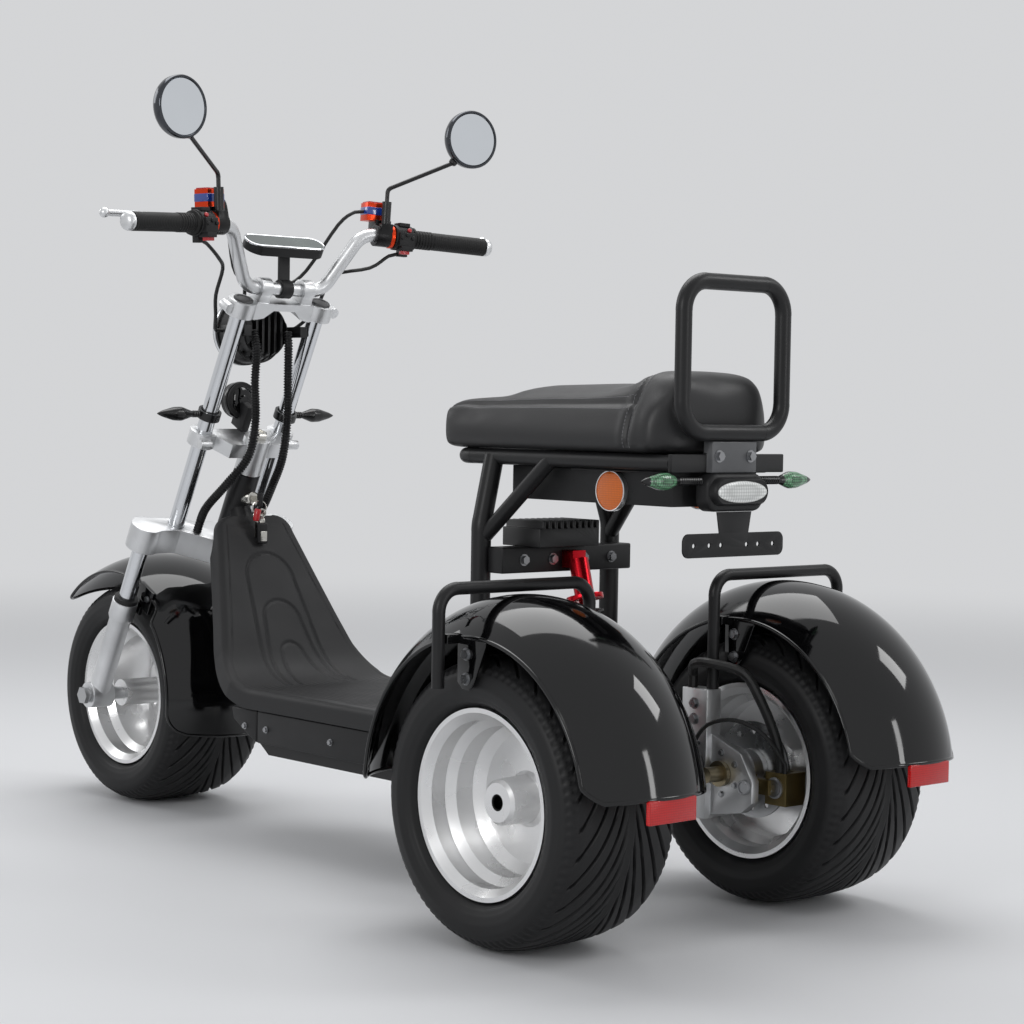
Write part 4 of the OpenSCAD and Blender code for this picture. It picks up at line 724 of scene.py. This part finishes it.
def scatter(name, tree, marks, size_mm, made, body):
    """Set a tree's item on marks of (place in mm, facing, run) and keep the result as one piece."""
    mesh = bpy.data.meshes.new(name)
    mesh.from_pydata([tuple(metres(m[0])) for m in marks], [], [])
    for label, k in (("facing", 1), ("along", 2)):
        held = mesh.attributes.new(label, "FLOAT_VECTOR", "POINT")
        held.data.foreach_set("vector", np.array([m[k] for m in marks], float).ravel())
    piece = bpy.data.objects.new(name, mesh)
    bpy.context.scene.collection.objects.link(piece)
    nodes = piece.modifiers.new("repeat", "NODES")
    nodes.node_group = tree
    for entry in tree.interface.items_tree:
        if entry.in_out == "INPUT" and entry.name in ("Size", "Finish"):
            nodes[entry.identifier] = size_mm / 1000 if entry.name == "Size" else made
    bake(piece)
    bpy.context.scene.collection.objects.unlink(piece)
    return settle(piece, made, body)


pitch_mm, row_off = 5.6, (-6.5, 6.5)
above, beside = 1000, 300
aims = [((x, side * (side_seam_y + off), above), (0, 0, -1), (1, 0, 0))
        for side in (-1, 1) for off in row_off for x in np.arange(-22, 400, pitch_mm)]
aims += [((cross_seam_x + off, y, above), (0, 0, -1), (0, 1, 0))
         for off in row_off for y in np.arange(-104, 105, pitch_mm)]
aims += [((cross_seam_x + off, side * beside, z), (0, -side, 0), (0, 0, 1))
         for side in (-1, 1) for off in row_off for z in np.arange(738, 812, pitch_mm)]
cover = BVHTree.FromPolygons([v.co for v in seat.data.vertices], [p.vertices for p in seat.data.polygons])
stitches = []
for start, way, along in aims:
    hit, facing, _, _ = cover.ray_cast(Vector(metres(start)), Vector(way))
    if hit:
        stitches.append((millimetres(hit) + 0.2 * np.array(facing), facing, along))
# Waxed thread: a mid grey that stands off the black cover.
waxed_thread = finish("waxed_thread", "#77777a", 0.6, grain_mm=0.5)
scatter("seat_stitches", repeater("stitches", thread), stitches, 2.5, waxed_thread, "frame")


# Bolts: zinc plated hexagon bolts on washers, where the brackets, clamps, panels and carriers are screwed
# together. A node tree sets one on each mark, and the marks lie on the faces they hold. The caps on the
# calipers and carriers are turned and plated the same way.
def bolt(tree, given):
    """A hexagon head on a round washer, sunk a little into its face."""
    size = given.outputs["Size"]
    joined = put(tree, "GeometryNodeJoinGeometry")
    for sides, wide, high, low in ((20, 1.35, 0.28, 0.0), (6, 1.0, 0.9, 0.14)):
        radius, depth, middle = (put(tree, "ShaderNodeMath", {1: k}, {0: size}, operation="MULTIPLY")
                                 for k in (wide, high, low + high / 2 - 0.1))
        lift = put(tree, "ShaderNodeCombineXYZ", {}, {"Z": middle.outputs[0]})
        bar = put(tree, "GeometryNodeMeshCylinder", {"Vertices": sides},
                  {"Radius": radius.outputs[0], "Depth": depth.outputs[0]})
        part = put(tree, "GeometryNodeTransform", {},
                   {"Geometry": bar.outputs[0], "Translation": lift.outputs[0]})
        tree.links.new(part.outputs[0], joined.inputs[0])
    return joined.outputs[0]


# Zinc plate: a cloudy, bluish bright grey.
zinc = finish("zinc_plate", "#9a9b9d", 0.3, metal=1.0, spread=0.15, grain_mm=1.0, bump_mm=0.03)
bolts = repeater("bolts", bolt)
frame_marks = [((-137.3, y, 726), (-1, 0, 0), (0, 1, 0)) for y in (-34, 34)]
frame_marks += [((227.7, y, 551), (-1, 0, 0), (0, 0.9, 0.4)) for y in (-96, -34, 34, 96)]
frame_marks += [((5, side * y, tab_z - drop), (0, side * way, 0), (1, 0, 0))
                for side in (-1, 1) for y, way in ((158.4, -1), (401.6, 1)) for drop in (14, 50)]
frame_marks += [((51, side * 118, z), (0, -side, 0), (1, 0, 0)) for side in (-1, 1) for z in (325, 300)]
panel_marks = [((x, side * 167, 215), (0, side, 0), (1, 0, 0))
               for side in (-1, 1) for x in (430, 640, 830, 895)]
bearing_marks = [((33 * math.cos(a), side * 130, front_axle[2] + 33 * math.sin(a)), (0, -side, 0), (0, 0, 1))
                 for side in (-1, 1) for a in np.arange(0.5, 6.5, np.pi / 3)]
fender_marks = [(fork_at(-26, side * 123, 232), (0, side, 0), (1, 0, 0)) for side in (-1, 1)]
for name, marks, size_mm, body in [("frame_bolts", frame_marks, 7.0, "frame"),
                                   ("panel_bolts", panel_marks, 4.6, "frame"),
                                   ("bearing_bolts", bearing_marks, 4.2, "frame"),
                                   ("fender_bolts", fender_marks, 5.0, "steering")]:
    scatter(name, bolts, marks, size_mm, zinc, body)
piston_cap = [(0, 0), (17, 0), (17, 3), (14, 4.4), (14, 6.4), (6.5, 6.4), (5.5, 5), (0, 5)]
carrier_cap = [(0, 0), (12, 0), (12, 4), (10.6, 5.2), (9, 5.2), (8.4, 3.6), (0, 3.6)]
caps = []
for side in (-1, 1):
    caps.append(lathe(piston_cap, (-74, side * 176, 199), (0, -side, 0), 40))
    caps.append(lathe(carrier_cap, (-50, side * 130, 201), (0, -side, 0), 32))
keep("caliper_caps", caps, zinc, "frame")


# Handlebar controls: ribbed rubber grips with aluminium ends, switch pods with red buttons, and orange
# anodised brake reservoirs with blue sight glasses and red caps. All are clamped along the bar's raised ends.
steering_top = np.array([1024.9, 0.0, 1007.9])


def bar_at(side, along, forward, up):
    """A place by the handlebar end, in mm along it, ahead of it and above it."""
    foot = steering_top + (-44.1, 150.0, 110)
    way = np.array([-60.9, 250.0, -14.0])
    way /= np.linalg.norm(way)
    front = np.array([way[1], -way[0], 0]) / math.hypot(way[0], way[1])
    spot = foot + along * way + forward * front + up * np.cross(front, way)
    return spot * (1, side, 1)


def bar_way(side, along, forward, up):
    """A direction by the handlebar end."""
    return bar_at(side, along, forward, up) - bar_at(side, 0, 0, 0)


def block(side, along, forward, up):
    """A box set out along the bar from three spans."""
    spots, faces = slab(*zip(along, forward, up))
    return [bar_at(side, *spot) for spot in spots], faces


# Rubber and black anodising are both dark, the first dull and the second with a metal glint.
grip_rubber = finish("grip_rubber", "#141414", 0.55, shine=0.3, grain_mm=0.8, bump_mm=0.06)
black_anodising = finish("black_anodising", "#1a1a1b", 0.3, metal=0.6, grain_mm=0.8, bump_mm=0.02)
# Orange anodising: metal that glows through its dye. The clamps below it are black.
orange_anodising = finish("orange_anodising", "#d8401c", 0.25, metal=0.85, spread=0.06, grain_mm=0.8,
                          bump_mm=0.02)
soften("switch_pods", moulded_plastic, "steering", 2.5, 3)
perches = soften("master_cylinders", orange_anodising, "steering", 2.2, 3)
perches.data.materials.append(black_anodising)
clamp_high, clamp_reach = 31, 14
for face in perches.data.polygons:
    spot = millimetres(face.center)
    arm = spot * (1, np.sign(spot[1]), 1) - bar_at(1, 0, 0, 0)
    high, reach = (np.dot(arm, bar_way(1, 0, *way)) for way in ((0, 1), (1, 0)))
    face.material_index = 0 if high > clamp_high or reach > clamp_reach else 1
# Glossy moulded red, and deep blue glass under a clear skin.
red_plastic = finish("red_plastic", "#b5121b", 0.3, grain_mm=1.0, coat=0.4)
blue_glass = finish("blue_sight_glass", "#1d3f9a", 0.12, grain_mm=3, coat=1.0)
grip_line = [(12.9, 0.3), (22, 0.3), (22, 4.6), (18.4, 5.6)]
for low in np.arange(7, 44, 6.2):
    grip_line += [(16.4, low), (17.6, low + 1), (17.6, low + 4), (16.4, low + 5)]
for low in np.arange(46, 150, 4.0):
    grip_line += [(16.7, low), (16.95, low + 0.6), (16.95, low + 2.8), (16.7, low + 3.4)]
grip_line += [(17, 152), (17, 157), (12.9, 157)]
end_line = [(0, 0), (15.5, 0), (16.8, 1.4), (16.8, 5), (15.8, 9), (12.6, 12.6), (7, 14.6), (0, 15.2)]
horn_button = [(0, 0), (4.4, 0), (4.4, 2.6), (3.4, 3.6), (0, 4)]
small_button = [(0, 0), (4, 0), (4, 2), (3, 3), (0, 3.4)]
ring_line = [(12.9, 0), (20.4, 0), (22, 1.4), (22, 6.6), (20.4, 8), (12.9, 8)]
grips, ends, buttons, windows, switches, rings = [], [], [], [], [], []
for side in (-1, 1):
    outward, rearward, to_rider = (bar_way(side, *way) for way in ((1, 0, 0), (0, -1, 0), (0, -0.86, 0.5)))
    grips.append(lathe(grip_line, bar_at(side, 100, 0, 0), outward, 40))
    ends.append(lathe(end_line, bar_at(side, 258, 0, 0), outward, 40))
    buttons += [block(side, (73, 89), (-25, -11), (-32, -21)), block(side, (12, 52), (8, 36), (61.5, 64.5)),
                lathe(horn_button, bar_at(side, 88, -20, 13.4), to_rider, 24)]
    switches += [block(side, (66, 97), (-29, -14), (-17, 9)), block(side, (70, 94), (-29, -7), (-26, -15)),
                 block(side, (70, 92), (-14, 12), (21, 28)), block(side, (76, 94), (-5, 9), (-35, -19))]
    switches += [lathe(small_button, bar_at(side, along, -29, up), rearward, 16)
                 for along, up in ((70, -1), (93, -1), (81, 4))]
    rings.append(lathe(ring_line, bar_at(side, 53, 0, 0), outward, 48))
    windows.append(block(side, (9.2, 54.8), (5.2, 38.8), (39, 54)))
keep("ribbed_grips", grips, grip_rubber, "steering", ("grips",))
keep("grip_ends", ends, brushed_aluminium, "steering")
keep("buttons_and_caps", buttons, red_plastic, "steering", edge_mm=1.4)
keep("switch_blocks", switches, moulded_plastic, "steering", edge_mm=2.4)
keep("perch_rings", rings, orange_anodising, "steering")
keep("sight_glasses", windows, blue_glass, "steering", edge_mm=1.6)


# Mirrors: round heads on bent black stems. A dark chrome shell with a rolled rim holds the silvered glass,
# and a small ball joint under each head takes the stem.
# Dark chrome: a mirror in smoky grey.
dark_chrome = finish("dark_chrome", "#4d4f53", 0.12, metal=1.0, grain_mm=6, bump_mm=0.005)
# Silvered glass: a plain mirror. The stems' paint is a smooth half gloss.
silvering = finish("silvered_glass", "#e2e6ea", 0.03, metal=1.0, spread=0.01, grain_mm=20, bump_mm=0.001)
stem_black = finish("stem_black", "#141415", 0.3, grain_mm=1.4, bump_mm=0.03)
dress(stem_black, "mirror_stems")
mirror_turn = math.radians(8)
shell_line = [(0, -22), (20, -21.4), (36, -19.4), (46, -16.2), (51.5, -12), (54.2, -6), (54.8, 1), (54.8, 6),
              (53.6, 7.8), (50.5, 7.8), (49, 5), (0, 5)]
joint_line = [(0, -3), (4.6, -3), (7.4, -1), (8.2, 3), (8.2, 10), (6, 16), (0, 16)]
glass_line = [(0, 5.2), (49.2, 5.2), (48.6, 6.4), (0, 6.4)]
shells, glasses, joints = [], [], []
for side in (-1, 1):
    back = np.array([-math.cos(mirror_turn), -side * math.sin(mirror_turn), 0])
    middle = steering_top + (-147, side * 328, 295)
    to_stem = np.array([0.149, -side * 0.555, -0.823])
    shells.append(lathe(shell_line, middle, back, 72))
    joints.append(lathe(joint_line, middle + (8, 0, 0) + 56 * to_stem, -to_stem - np.array([0.1, 0, 0]), 24))
    glasses.append(lathe(glass_line, middle, back, 72))
keep("mirror_shells", shells, dark_chrome, "steering", ("mirror_heads",))
keep("mirror_joints", joints, stem_black, "steering")
keep("mirror_faces", glasses, silvering, "steering")


# Display, headlamp, horn and front indicators: black mouldings, a silver rim round the grey-green liquid
# crystal face, a headlamp with a fluted reflector and a clear bulb glass, and smoked amber indicator lenses
# on stalks that clamp round the fork tubes.
def winker(foot, way, stalk, long):
    """A pointed indicator on a ribbed stalk."""
    line = [(0, 0), (6.4, 0)]
    for low in np.arange(2, stalk - 3, 4.6):
        line += [(5.2, low), (6.6, low + 0.8), (6.6, low + 2.6), (5.2, low + 3.4)]
    t = np.linspace(0, 1, 60)
    r = np.interp(t, [0, 0.06, 0.3, 0.52, 0.84, 0.96, 1], [6, 7.4, 13.4, 12.6, 6.0, 2.2, 0])
    for _ in range(6):
        r[1:-1] = 0.25 * r[:-2] + 0.5 * r[1:-1] + 0.25 * r[2:]
    return lathe(line + [(q, stalk + k * long) for q, k in zip(r, t)], foot, way, 48)


def light_up(piece, lens, facing, span_mm):
    """Give a lens to the faces that look forward or back, between two distances from the part's middle."""
    piece.data.materials.append(lens)
    for face in piece.data.polygons:
        if face.normal.x * facing > 0.3 and span_mm[0] < abs(face.center.y) * 1000 < span_mm[1]:
            face.material_index = 1


def oval(half_long, radius, height, lean, middle, count=24):
    """An outline of a long oval, laid on the display's tilted face."""
    rim = []
    for end in (1, -1):
        for a in np.linspace(-np.pi / 2, np.pi / 2, count) + (0 if end > 0 else np.pi):
            u, v = radius * math.sin(a), end * half_long + radius * math.cos(a)
            rim.append((middle[0] + u * math.cos(lean) + height * math.sin(lean), middle[1] + v,
                        middle[2] + height * math.cos(lean) - u * math.sin(lean)))
    return rim


soften("display", moulded_plastic, "steering", 3.0, 3)
# Painted die casting: a plain satin black.
lamp_black = finish("lamp_black", "#101011", 0.36, grain_mm=1.2, bump_mm=0.03)
soften("headlamp", lamp_black, "steering", 1.4)
horn_at = fork_at(26, 0, 640)
horn_ring = [(33, 5), (35.4, 5), (36, 8), (36, 11), (35.4, 14), (33, 14), (33, 5)]
horn_middle = [(0, -5), (8, -5), (10, -3), (10, -1.4), (24, -1.4), (27, 0.6), (0, 0.6)]
keep("horn_rim", [lathe(horn_ring, horn_at, (1, 0, 0), 64), lathe(horn_middle, horn_at, (1, 0, 0), 48)],
     gloss_black, "steering")
# Polished black plastic, and amber so dark that it only shows where light falls on it.
indicator_black = finish("indicator_black", "#101011", 0.2, grain_mm=2, bump_mm=0.01)
smoked_amber = finish("smoked_amber_lens", "#8a5a1c", 0.14, grain_mm=3, coat=1.0)
fork_half, clamp_up, stalk_up = 88, 615, 623
fork_way = np.array(fork_at(0, 0, 1)) - np.array(fork_at(0, 0, 0))
clamp_line = [(17.3, 0), (22.2, 0), (22.2, 16), (17.3, 16), (17.3, 0)]
clamps = [lathe(clamp_line, fork_at(0, side * fork_half, clamp_up), fork_way, 40) for side in (-1, 1)]
stalks = [winker(fork_at(0, side * 106, stalk_up), (0, side, 0), 22, 76) for side in (-1, 1)]
front_pair = keep("front_winkers", clamps + stalks, indicator_black, "steering",
                  ("front_indicators",))
light_up(front_pair, smoked_amber, 1, (134, 190))
# Silvered plastic with two broad flutes, about 57 mm apart, which bend what they mirror.
reflector = finish("fluted_reflector", "#dfe2e5", 0.16, metal=1.0, grain_mm=5, spread=0.06)
flute_mm = 56.55
flutes = put(reflector.node_tree, "ShaderNodeTexWave", {"Scale": wave_unit / (flute_mm / 1000)},
             {"Vector": reflector.node_tree.nodes["place"].outputs["Object"]}, bands_direction="Y")
relief(reflector, flutes.outputs["Fac"], 1.4)
# Thick glass, shown as a pale blue-grey under a clear coat.
lamp_glass = finish("lamp_glass", "#aab4bd", 0.05, grain_mm=5, coat=1.0, spread=0.2)
lamp_x, lamp_z = 1161.8, 929.8
bowl_line = [(0, 0.4), (24, 0.6), (30, 1.0), (44, 2.4), (57.6, 5.4), (57.6, -0.5), (0, -0.5)]
bulb_line = [(0, 8.6), (8, 8.2), (15, 6.8), (20.5, 4.2), (22, 1), (22, 0), (0, 0)]
bulb_ring = [(22, 0), (22, 4), (23.4, 5.4), (26, 5.4), (27.4, 4), (27.4, 0), (22, 0)]
rim_line = [(57, 0), (64.3, 0), (64.8, 5), (63, 10), (60, 13), (57.4, 12), (57, 0)]
for name, line, x, turns, made, slot in [
        ("headlamp_bowl", bowl_line, lamp_x, 72, reflector, "mirror_glass"),
        ("headlamp_glass", bulb_line, lamp_x, 48, lamp_glass, "mirror_glass"),
        ("headlamp_ring", bulb_ring, lamp_x, 48, gloss_black, "gloss_black"),
        ("headlamp_rim", rim_line, 1154.8, 72, chrome_plate, "chrome_tube")]:
    keep(name, [lathe(line, (x, 0, lamp_z), (1, 0, 0), turns)], made, "steering")
# Liquid crystal at rest: a dark grey-green under clear plastic.
screen = finish("liquid_crystal", "#2b3b35", 0.14, grain_mm=4, coat=1.0, spread=0.3)
screen_lean, screen_half = math.radians(-30), 65
screen_at = (1030.9 + 9 * math.sin(screen_lean), 0, 1079.9 + 9 * math.cos(screen_lean))
keep("display_face", [loft([oval(screen_half, 19.5, h, screen_lean, screen_at) for h in (6.0, 9.6)])], screen,
     "steering")
keep("display_rim", [sweep(oval(screen_half, 22, 8.6, screen_lean, screen_at), 2.2, 10, True)], chrome_plate,
     "steering")


# Wiring looms: corrugated plastic conduit from the headlamp down to the yoke, along the part's own cords,
# with rings about 5 mm apart. The cables and hoses stay the part's cords in black rubber.
def smooth_line(marks, steps):
    """A curve through marks whose first and last spans are straight."""
    marks = np.asarray(marks, float)
    line = [marks[0] + (marks[1] - marks[0]) * t for t in np.linspace(0, 1, steps, endpoint=False)]
    for i in range(1, len(marks) - 2):
        a, b, c, d = marks[i - 1:i + 3]
        for t in np.linspace(0, 1, steps, endpoint=False):
            line.append(0.5 * (2 * b + (c - a) * t + (2 * a - 5 * b + 4 * c - d) * t * t
                               + (3 * b - a - 3 * c + d) * t ** 3))
    line += [marks[-2] + (marks[-1] - marks[-2]) * t for t in np.linspace(0, 1, steps)]
    return np.array(line)


# Extruded conduit: satin black, ringed with small highlights.
loom_plastic = finish("conduit_plastic", "#161617", 0.42, shine=0.3, grain_mm=1.2, bump_mm=0.03)
loom_radius, ring_high, ring_pitch, loom_step = 7.5, 1.0, 5.2, 1.05
left_route = [(-14, 36, 770), (-36, 34, 710), (-62, 26, 640), (-80, 32, 575), (-68, 52, 510), (-46, 64, 450),
              (-30, 58, 410), (-30, 58, 385.3)]
right_route = [(-16, -32, 780), (-40, -36, 720), (-66, -42, 650), (-82, -46, 575), (-76, -48, 510),
               (-62, -52, 450), (-34, -58, 410), (-34, -58, 385.3)]
looms = []
for start, route in (((1068.3, 36, lamp_z), left_route), ((1054.8, -32, lamp_z), right_route)):
    line = smooth_line([start] + [fork_at(*m) for m in route], 34)
    length = np.concatenate([[0], np.cumsum(np.linalg.norm(np.diff(line, axis=0), axis=1))])
    even = np.arange(0, length[-1], loom_step)
    line = np.stack([np.interp(even, length, line[:, k]) for k in range(3)], 1)
    ribbed = loom_radius + ring_high * np.tanh(3 * np.sin(2 * np.pi * even / ring_pitch))
    looms.append(sweep(line, ribbed, 18))
keep("corrugated_looms", looms, loom_plastic, "steering", ("wiring_looms",))
# Hose rubber: plain and dull.
dress(finish("hose_rubber", "#131313", 0.5, grain_mm=1.0, bump_mm=0.04), "control_cables", "rear_hoses")


# Ignition lock and keys: a nickelled steel barrel in the neck with a key in it, and a ring that carries two
# more keys, a black remote with a nickel plate and a red fob. They hang still behind the steering column.
def hoop(middle, radius, thick, tilt):
    """A wire ring, turned about the upright."""
    turn = np.linspace(0, 2 * np.pi, 28, endpoint=False)
    return sweep([(middle[0] + radius * math.sin(tilt) * math.cos(a),
                   middle[1] + radius * math.cos(tilt) * math.cos(a), middle[2] + radius * math.sin(a))
                  for a in turn], thick, 8, True)


# Nickel plate: warmer and softer than chrome.
nickel = finish("nickel_plate", "#c4c2bc", 0.2, metal=1.0, grain_mm=1.5, bump_mm=0.02)
barrel_line = [(0, 0), (11, 0), (11, 30), (13.5, 30), (13.5, 38), (11, 40), (0, 40)]
barrel = lathe(barrel_line, (1150, 2, 612), (-1, 0, 0), 32)
key_blade = slab((1096, 0.9, 606), (1111, 3.1, 618))
key_bow = slab((1083, -0.4, 598), (1098, 4.4, 624))
key_ring = hoop((1092, 2, 596), 13, 1.1, 0.6)
spare_blades = [slab((1089, -6, 548), (1091, 0, 584)), slab((1093, 4, 540), (1095, 10, 578))]
spare_bows = [hoop((1090, -3, 586), 6, 2.6, 0.2), hoop((1094, 7, 581), 6.5, 2.6, -0.2)]
remote = slab((1077, -9, 528), (1087, 13, 568))
remote_plate = [slab((1075.6, -5, 533), (1077.4, 9, 552)), hoop((1082, 2, 572), 5, 1.2, 1.2)]
fob = lathe([(0, 0), (5.5, 0), (6.5, 2), (6.5, 20), (5, 23), (0, 23)], (1086, 9, 594), (0.1, 0.15, -1), 24)
lock = [barrel, key_blade, key_ring] + spare_blades + spare_bows
keep("lock_and_keys", lock, nickel, "frame")
keep("key_bow", [key_bow], moulded_plastic, "frame", edge_mm=2.0)
keep("remote_fob", [remote], moulded_plastic, "frame", edge_mm=3.5)
keep("fob_plate", remote_plate, nickel, "frame", edge_mm=0.5)
keep("key_fob", [fob], red_plastic, "frame")


# Fork tops and stem nut: grey plastic plugs pushed into the fork tubes, and a nickelled hexagon nut that
# holds the steering stem down.
tube_way = (-math.sin(rake), 0, math.cos(rake))
# Moulded grey plastic: matt, a shade lighter than the clamps' shadows.
plug_plastic = finish("grey_plug_plastic", "#3a3a3b", 0.42, grain_mm=0.9, bump_mm=0.05)
plug_line = [(0, -1), (19, -1), (19, 1.6), (17.4, 3.2), (14, 3.2), (12.6, 2), (0, 2)]
nut_line = [(0, -1), (17, -1), (17, 11), (14, 13), (9, 13), (9, 11), (0, 11)]
plugs = [lathe(plug_line, fork_at(0, side * fork_half, 862), tube_way, 40) for side in (-1, 1)]
keep("fork_plugs", plugs, plug_plastic, "steering")
nut = lathe(nut_line, fork_at(-50, 0, 600), tube_way, 6)
keep("stem_nut", [nut], nickel, "steering", angle=20)


# Lamps and reflectors at the back: a tail lamp in a black housing with a clear honeycomb lens, indicators
# with green lenses on ribbed stalks, red prism reflectors at the fenders' edges and amber ones in metal rims
# under the seat.
def prism(name, colour, cell_mm, bright=1.3, dark=0.6):
    """A moulded reflector: rows of small prisms under a clear face, each with a painted glint in its middle.
    """
    made = finish(name, colour, 0.2, spread=0.1, grain_mm=3, coat=0.25)
    tree = made.node_tree
    cells = put(tree, "ShaderNodeTexVoronoi", {"Scale": 1000 / cell_mm, "Randomness": 0.0},
                {"Vector": tree.nodes["place"].outputs["Object"]})
    # Painted glint: the colour is raised at each prism's middle and lowered at its edges, standing in for the
    # light it catches.
    painted_glint = put(tree, "ShaderNodeMapRange", {"From Max": 0.7, "To Min": bright, "To Max": dark},
              {"Value": cells.outputs["Distance"]})
    shade = put(tree, "ShaderNodeVectorMath", {},
                {0: tree.nodes["tone"].outputs["Color"], "Scale": painted_glint.outputs["Result"]}, operation="SCALE")
    tree.links.new(shade.outputs[0], tree.nodes["skin"].inputs["Base Color"])
    relief(made, cells.outputs["Distance"], 0.6)
    return made


def rounded(half_y, half_z, radius, x, z):
    """A rectangle with round corners, across the length of the part."""
    return [(x, (half_y - radius) * math.copysign(1, math.cos(a)) + radius * math.cos(a),
             z + (half_z - radius) * math.copysign(1, math.sin(a)) + radius * math.sin(a))
            for a in np.arange(64) * np.pi / 32 + np.pi / 64]


soften("rear_reflectors", prism("red_prisms", "#d40f10", 3.4), "frame", 1.5)
rim_line = [(29.6, 0), (31.6, 0), (31.6, 8.2), (30.8, 9.2), (29.6, 8.8), (29.6, 0)]
rims = [lathe(rim_line, (28, side * 92.3, 669), (0, side, 0), 64) for side in (-1, 1)]
keep("reflector_rims", rims, brushed_aluminium, "frame")
soften("side_reflectors", prism("amber_prisms", "#ff7a0c", 3.4), "frame", 1.5)
lens_z = 673
housing = loft([rounded(61 - k, 28.8 - k, 20 - k, x, 671.8)
                for x, k in ((-117.3, 0), (-136, 0), (-140, 1.2), (-142.4, 3.6), (-143.3, 7))])
bezel = loft([rounded(59 - k, 21.5 - k, 21.4 - k, x, lens_z)
              for x, k in ((-142, 0), (-150, 1), (-154, 2.2), (-156, 4), (-155, 6))])
keep("tail_housing", [housing, bezel], moulded_plastic, "frame", ("tail_lamp",), 50)
lens_x, lens_bulge, lens_half, lens_rise = -154.6, 5.5, 53.5, 16.6
dome = [[(lens_x - lens_bulge * math.cos(a), lens_half * math.sin(a) * math.cos(b),
          lens_z + lens_rise * math.sin(a) * math.sin(b))
         for b in np.linspace(0, 2 * np.pi, 48, endpoint=False)] for a in np.linspace(0.02, np.pi / 2, 12)]
keep("tail_lens", [loft(dome)], prism("honeycomb_lens", "#e6e8e6", 5.0), "frame", angle=60)
stalks = [winker((-125.3, side * 61.3, 689), (0, side, 0), 50, 74) for side in (-1, 1)]
rear_pair = keep("rear_winkers", stalks, indicator_black, "frame", ("rear_indicators",))
# The green lenses carry a strong painted sparkle: their prisms' colour runs from twice as bright to a fifth.
light_up(rear_pair, prism("green_smoked_lens", "#5d8f6b", 4.0, 2.0, 0.2), -1, (118, 170))
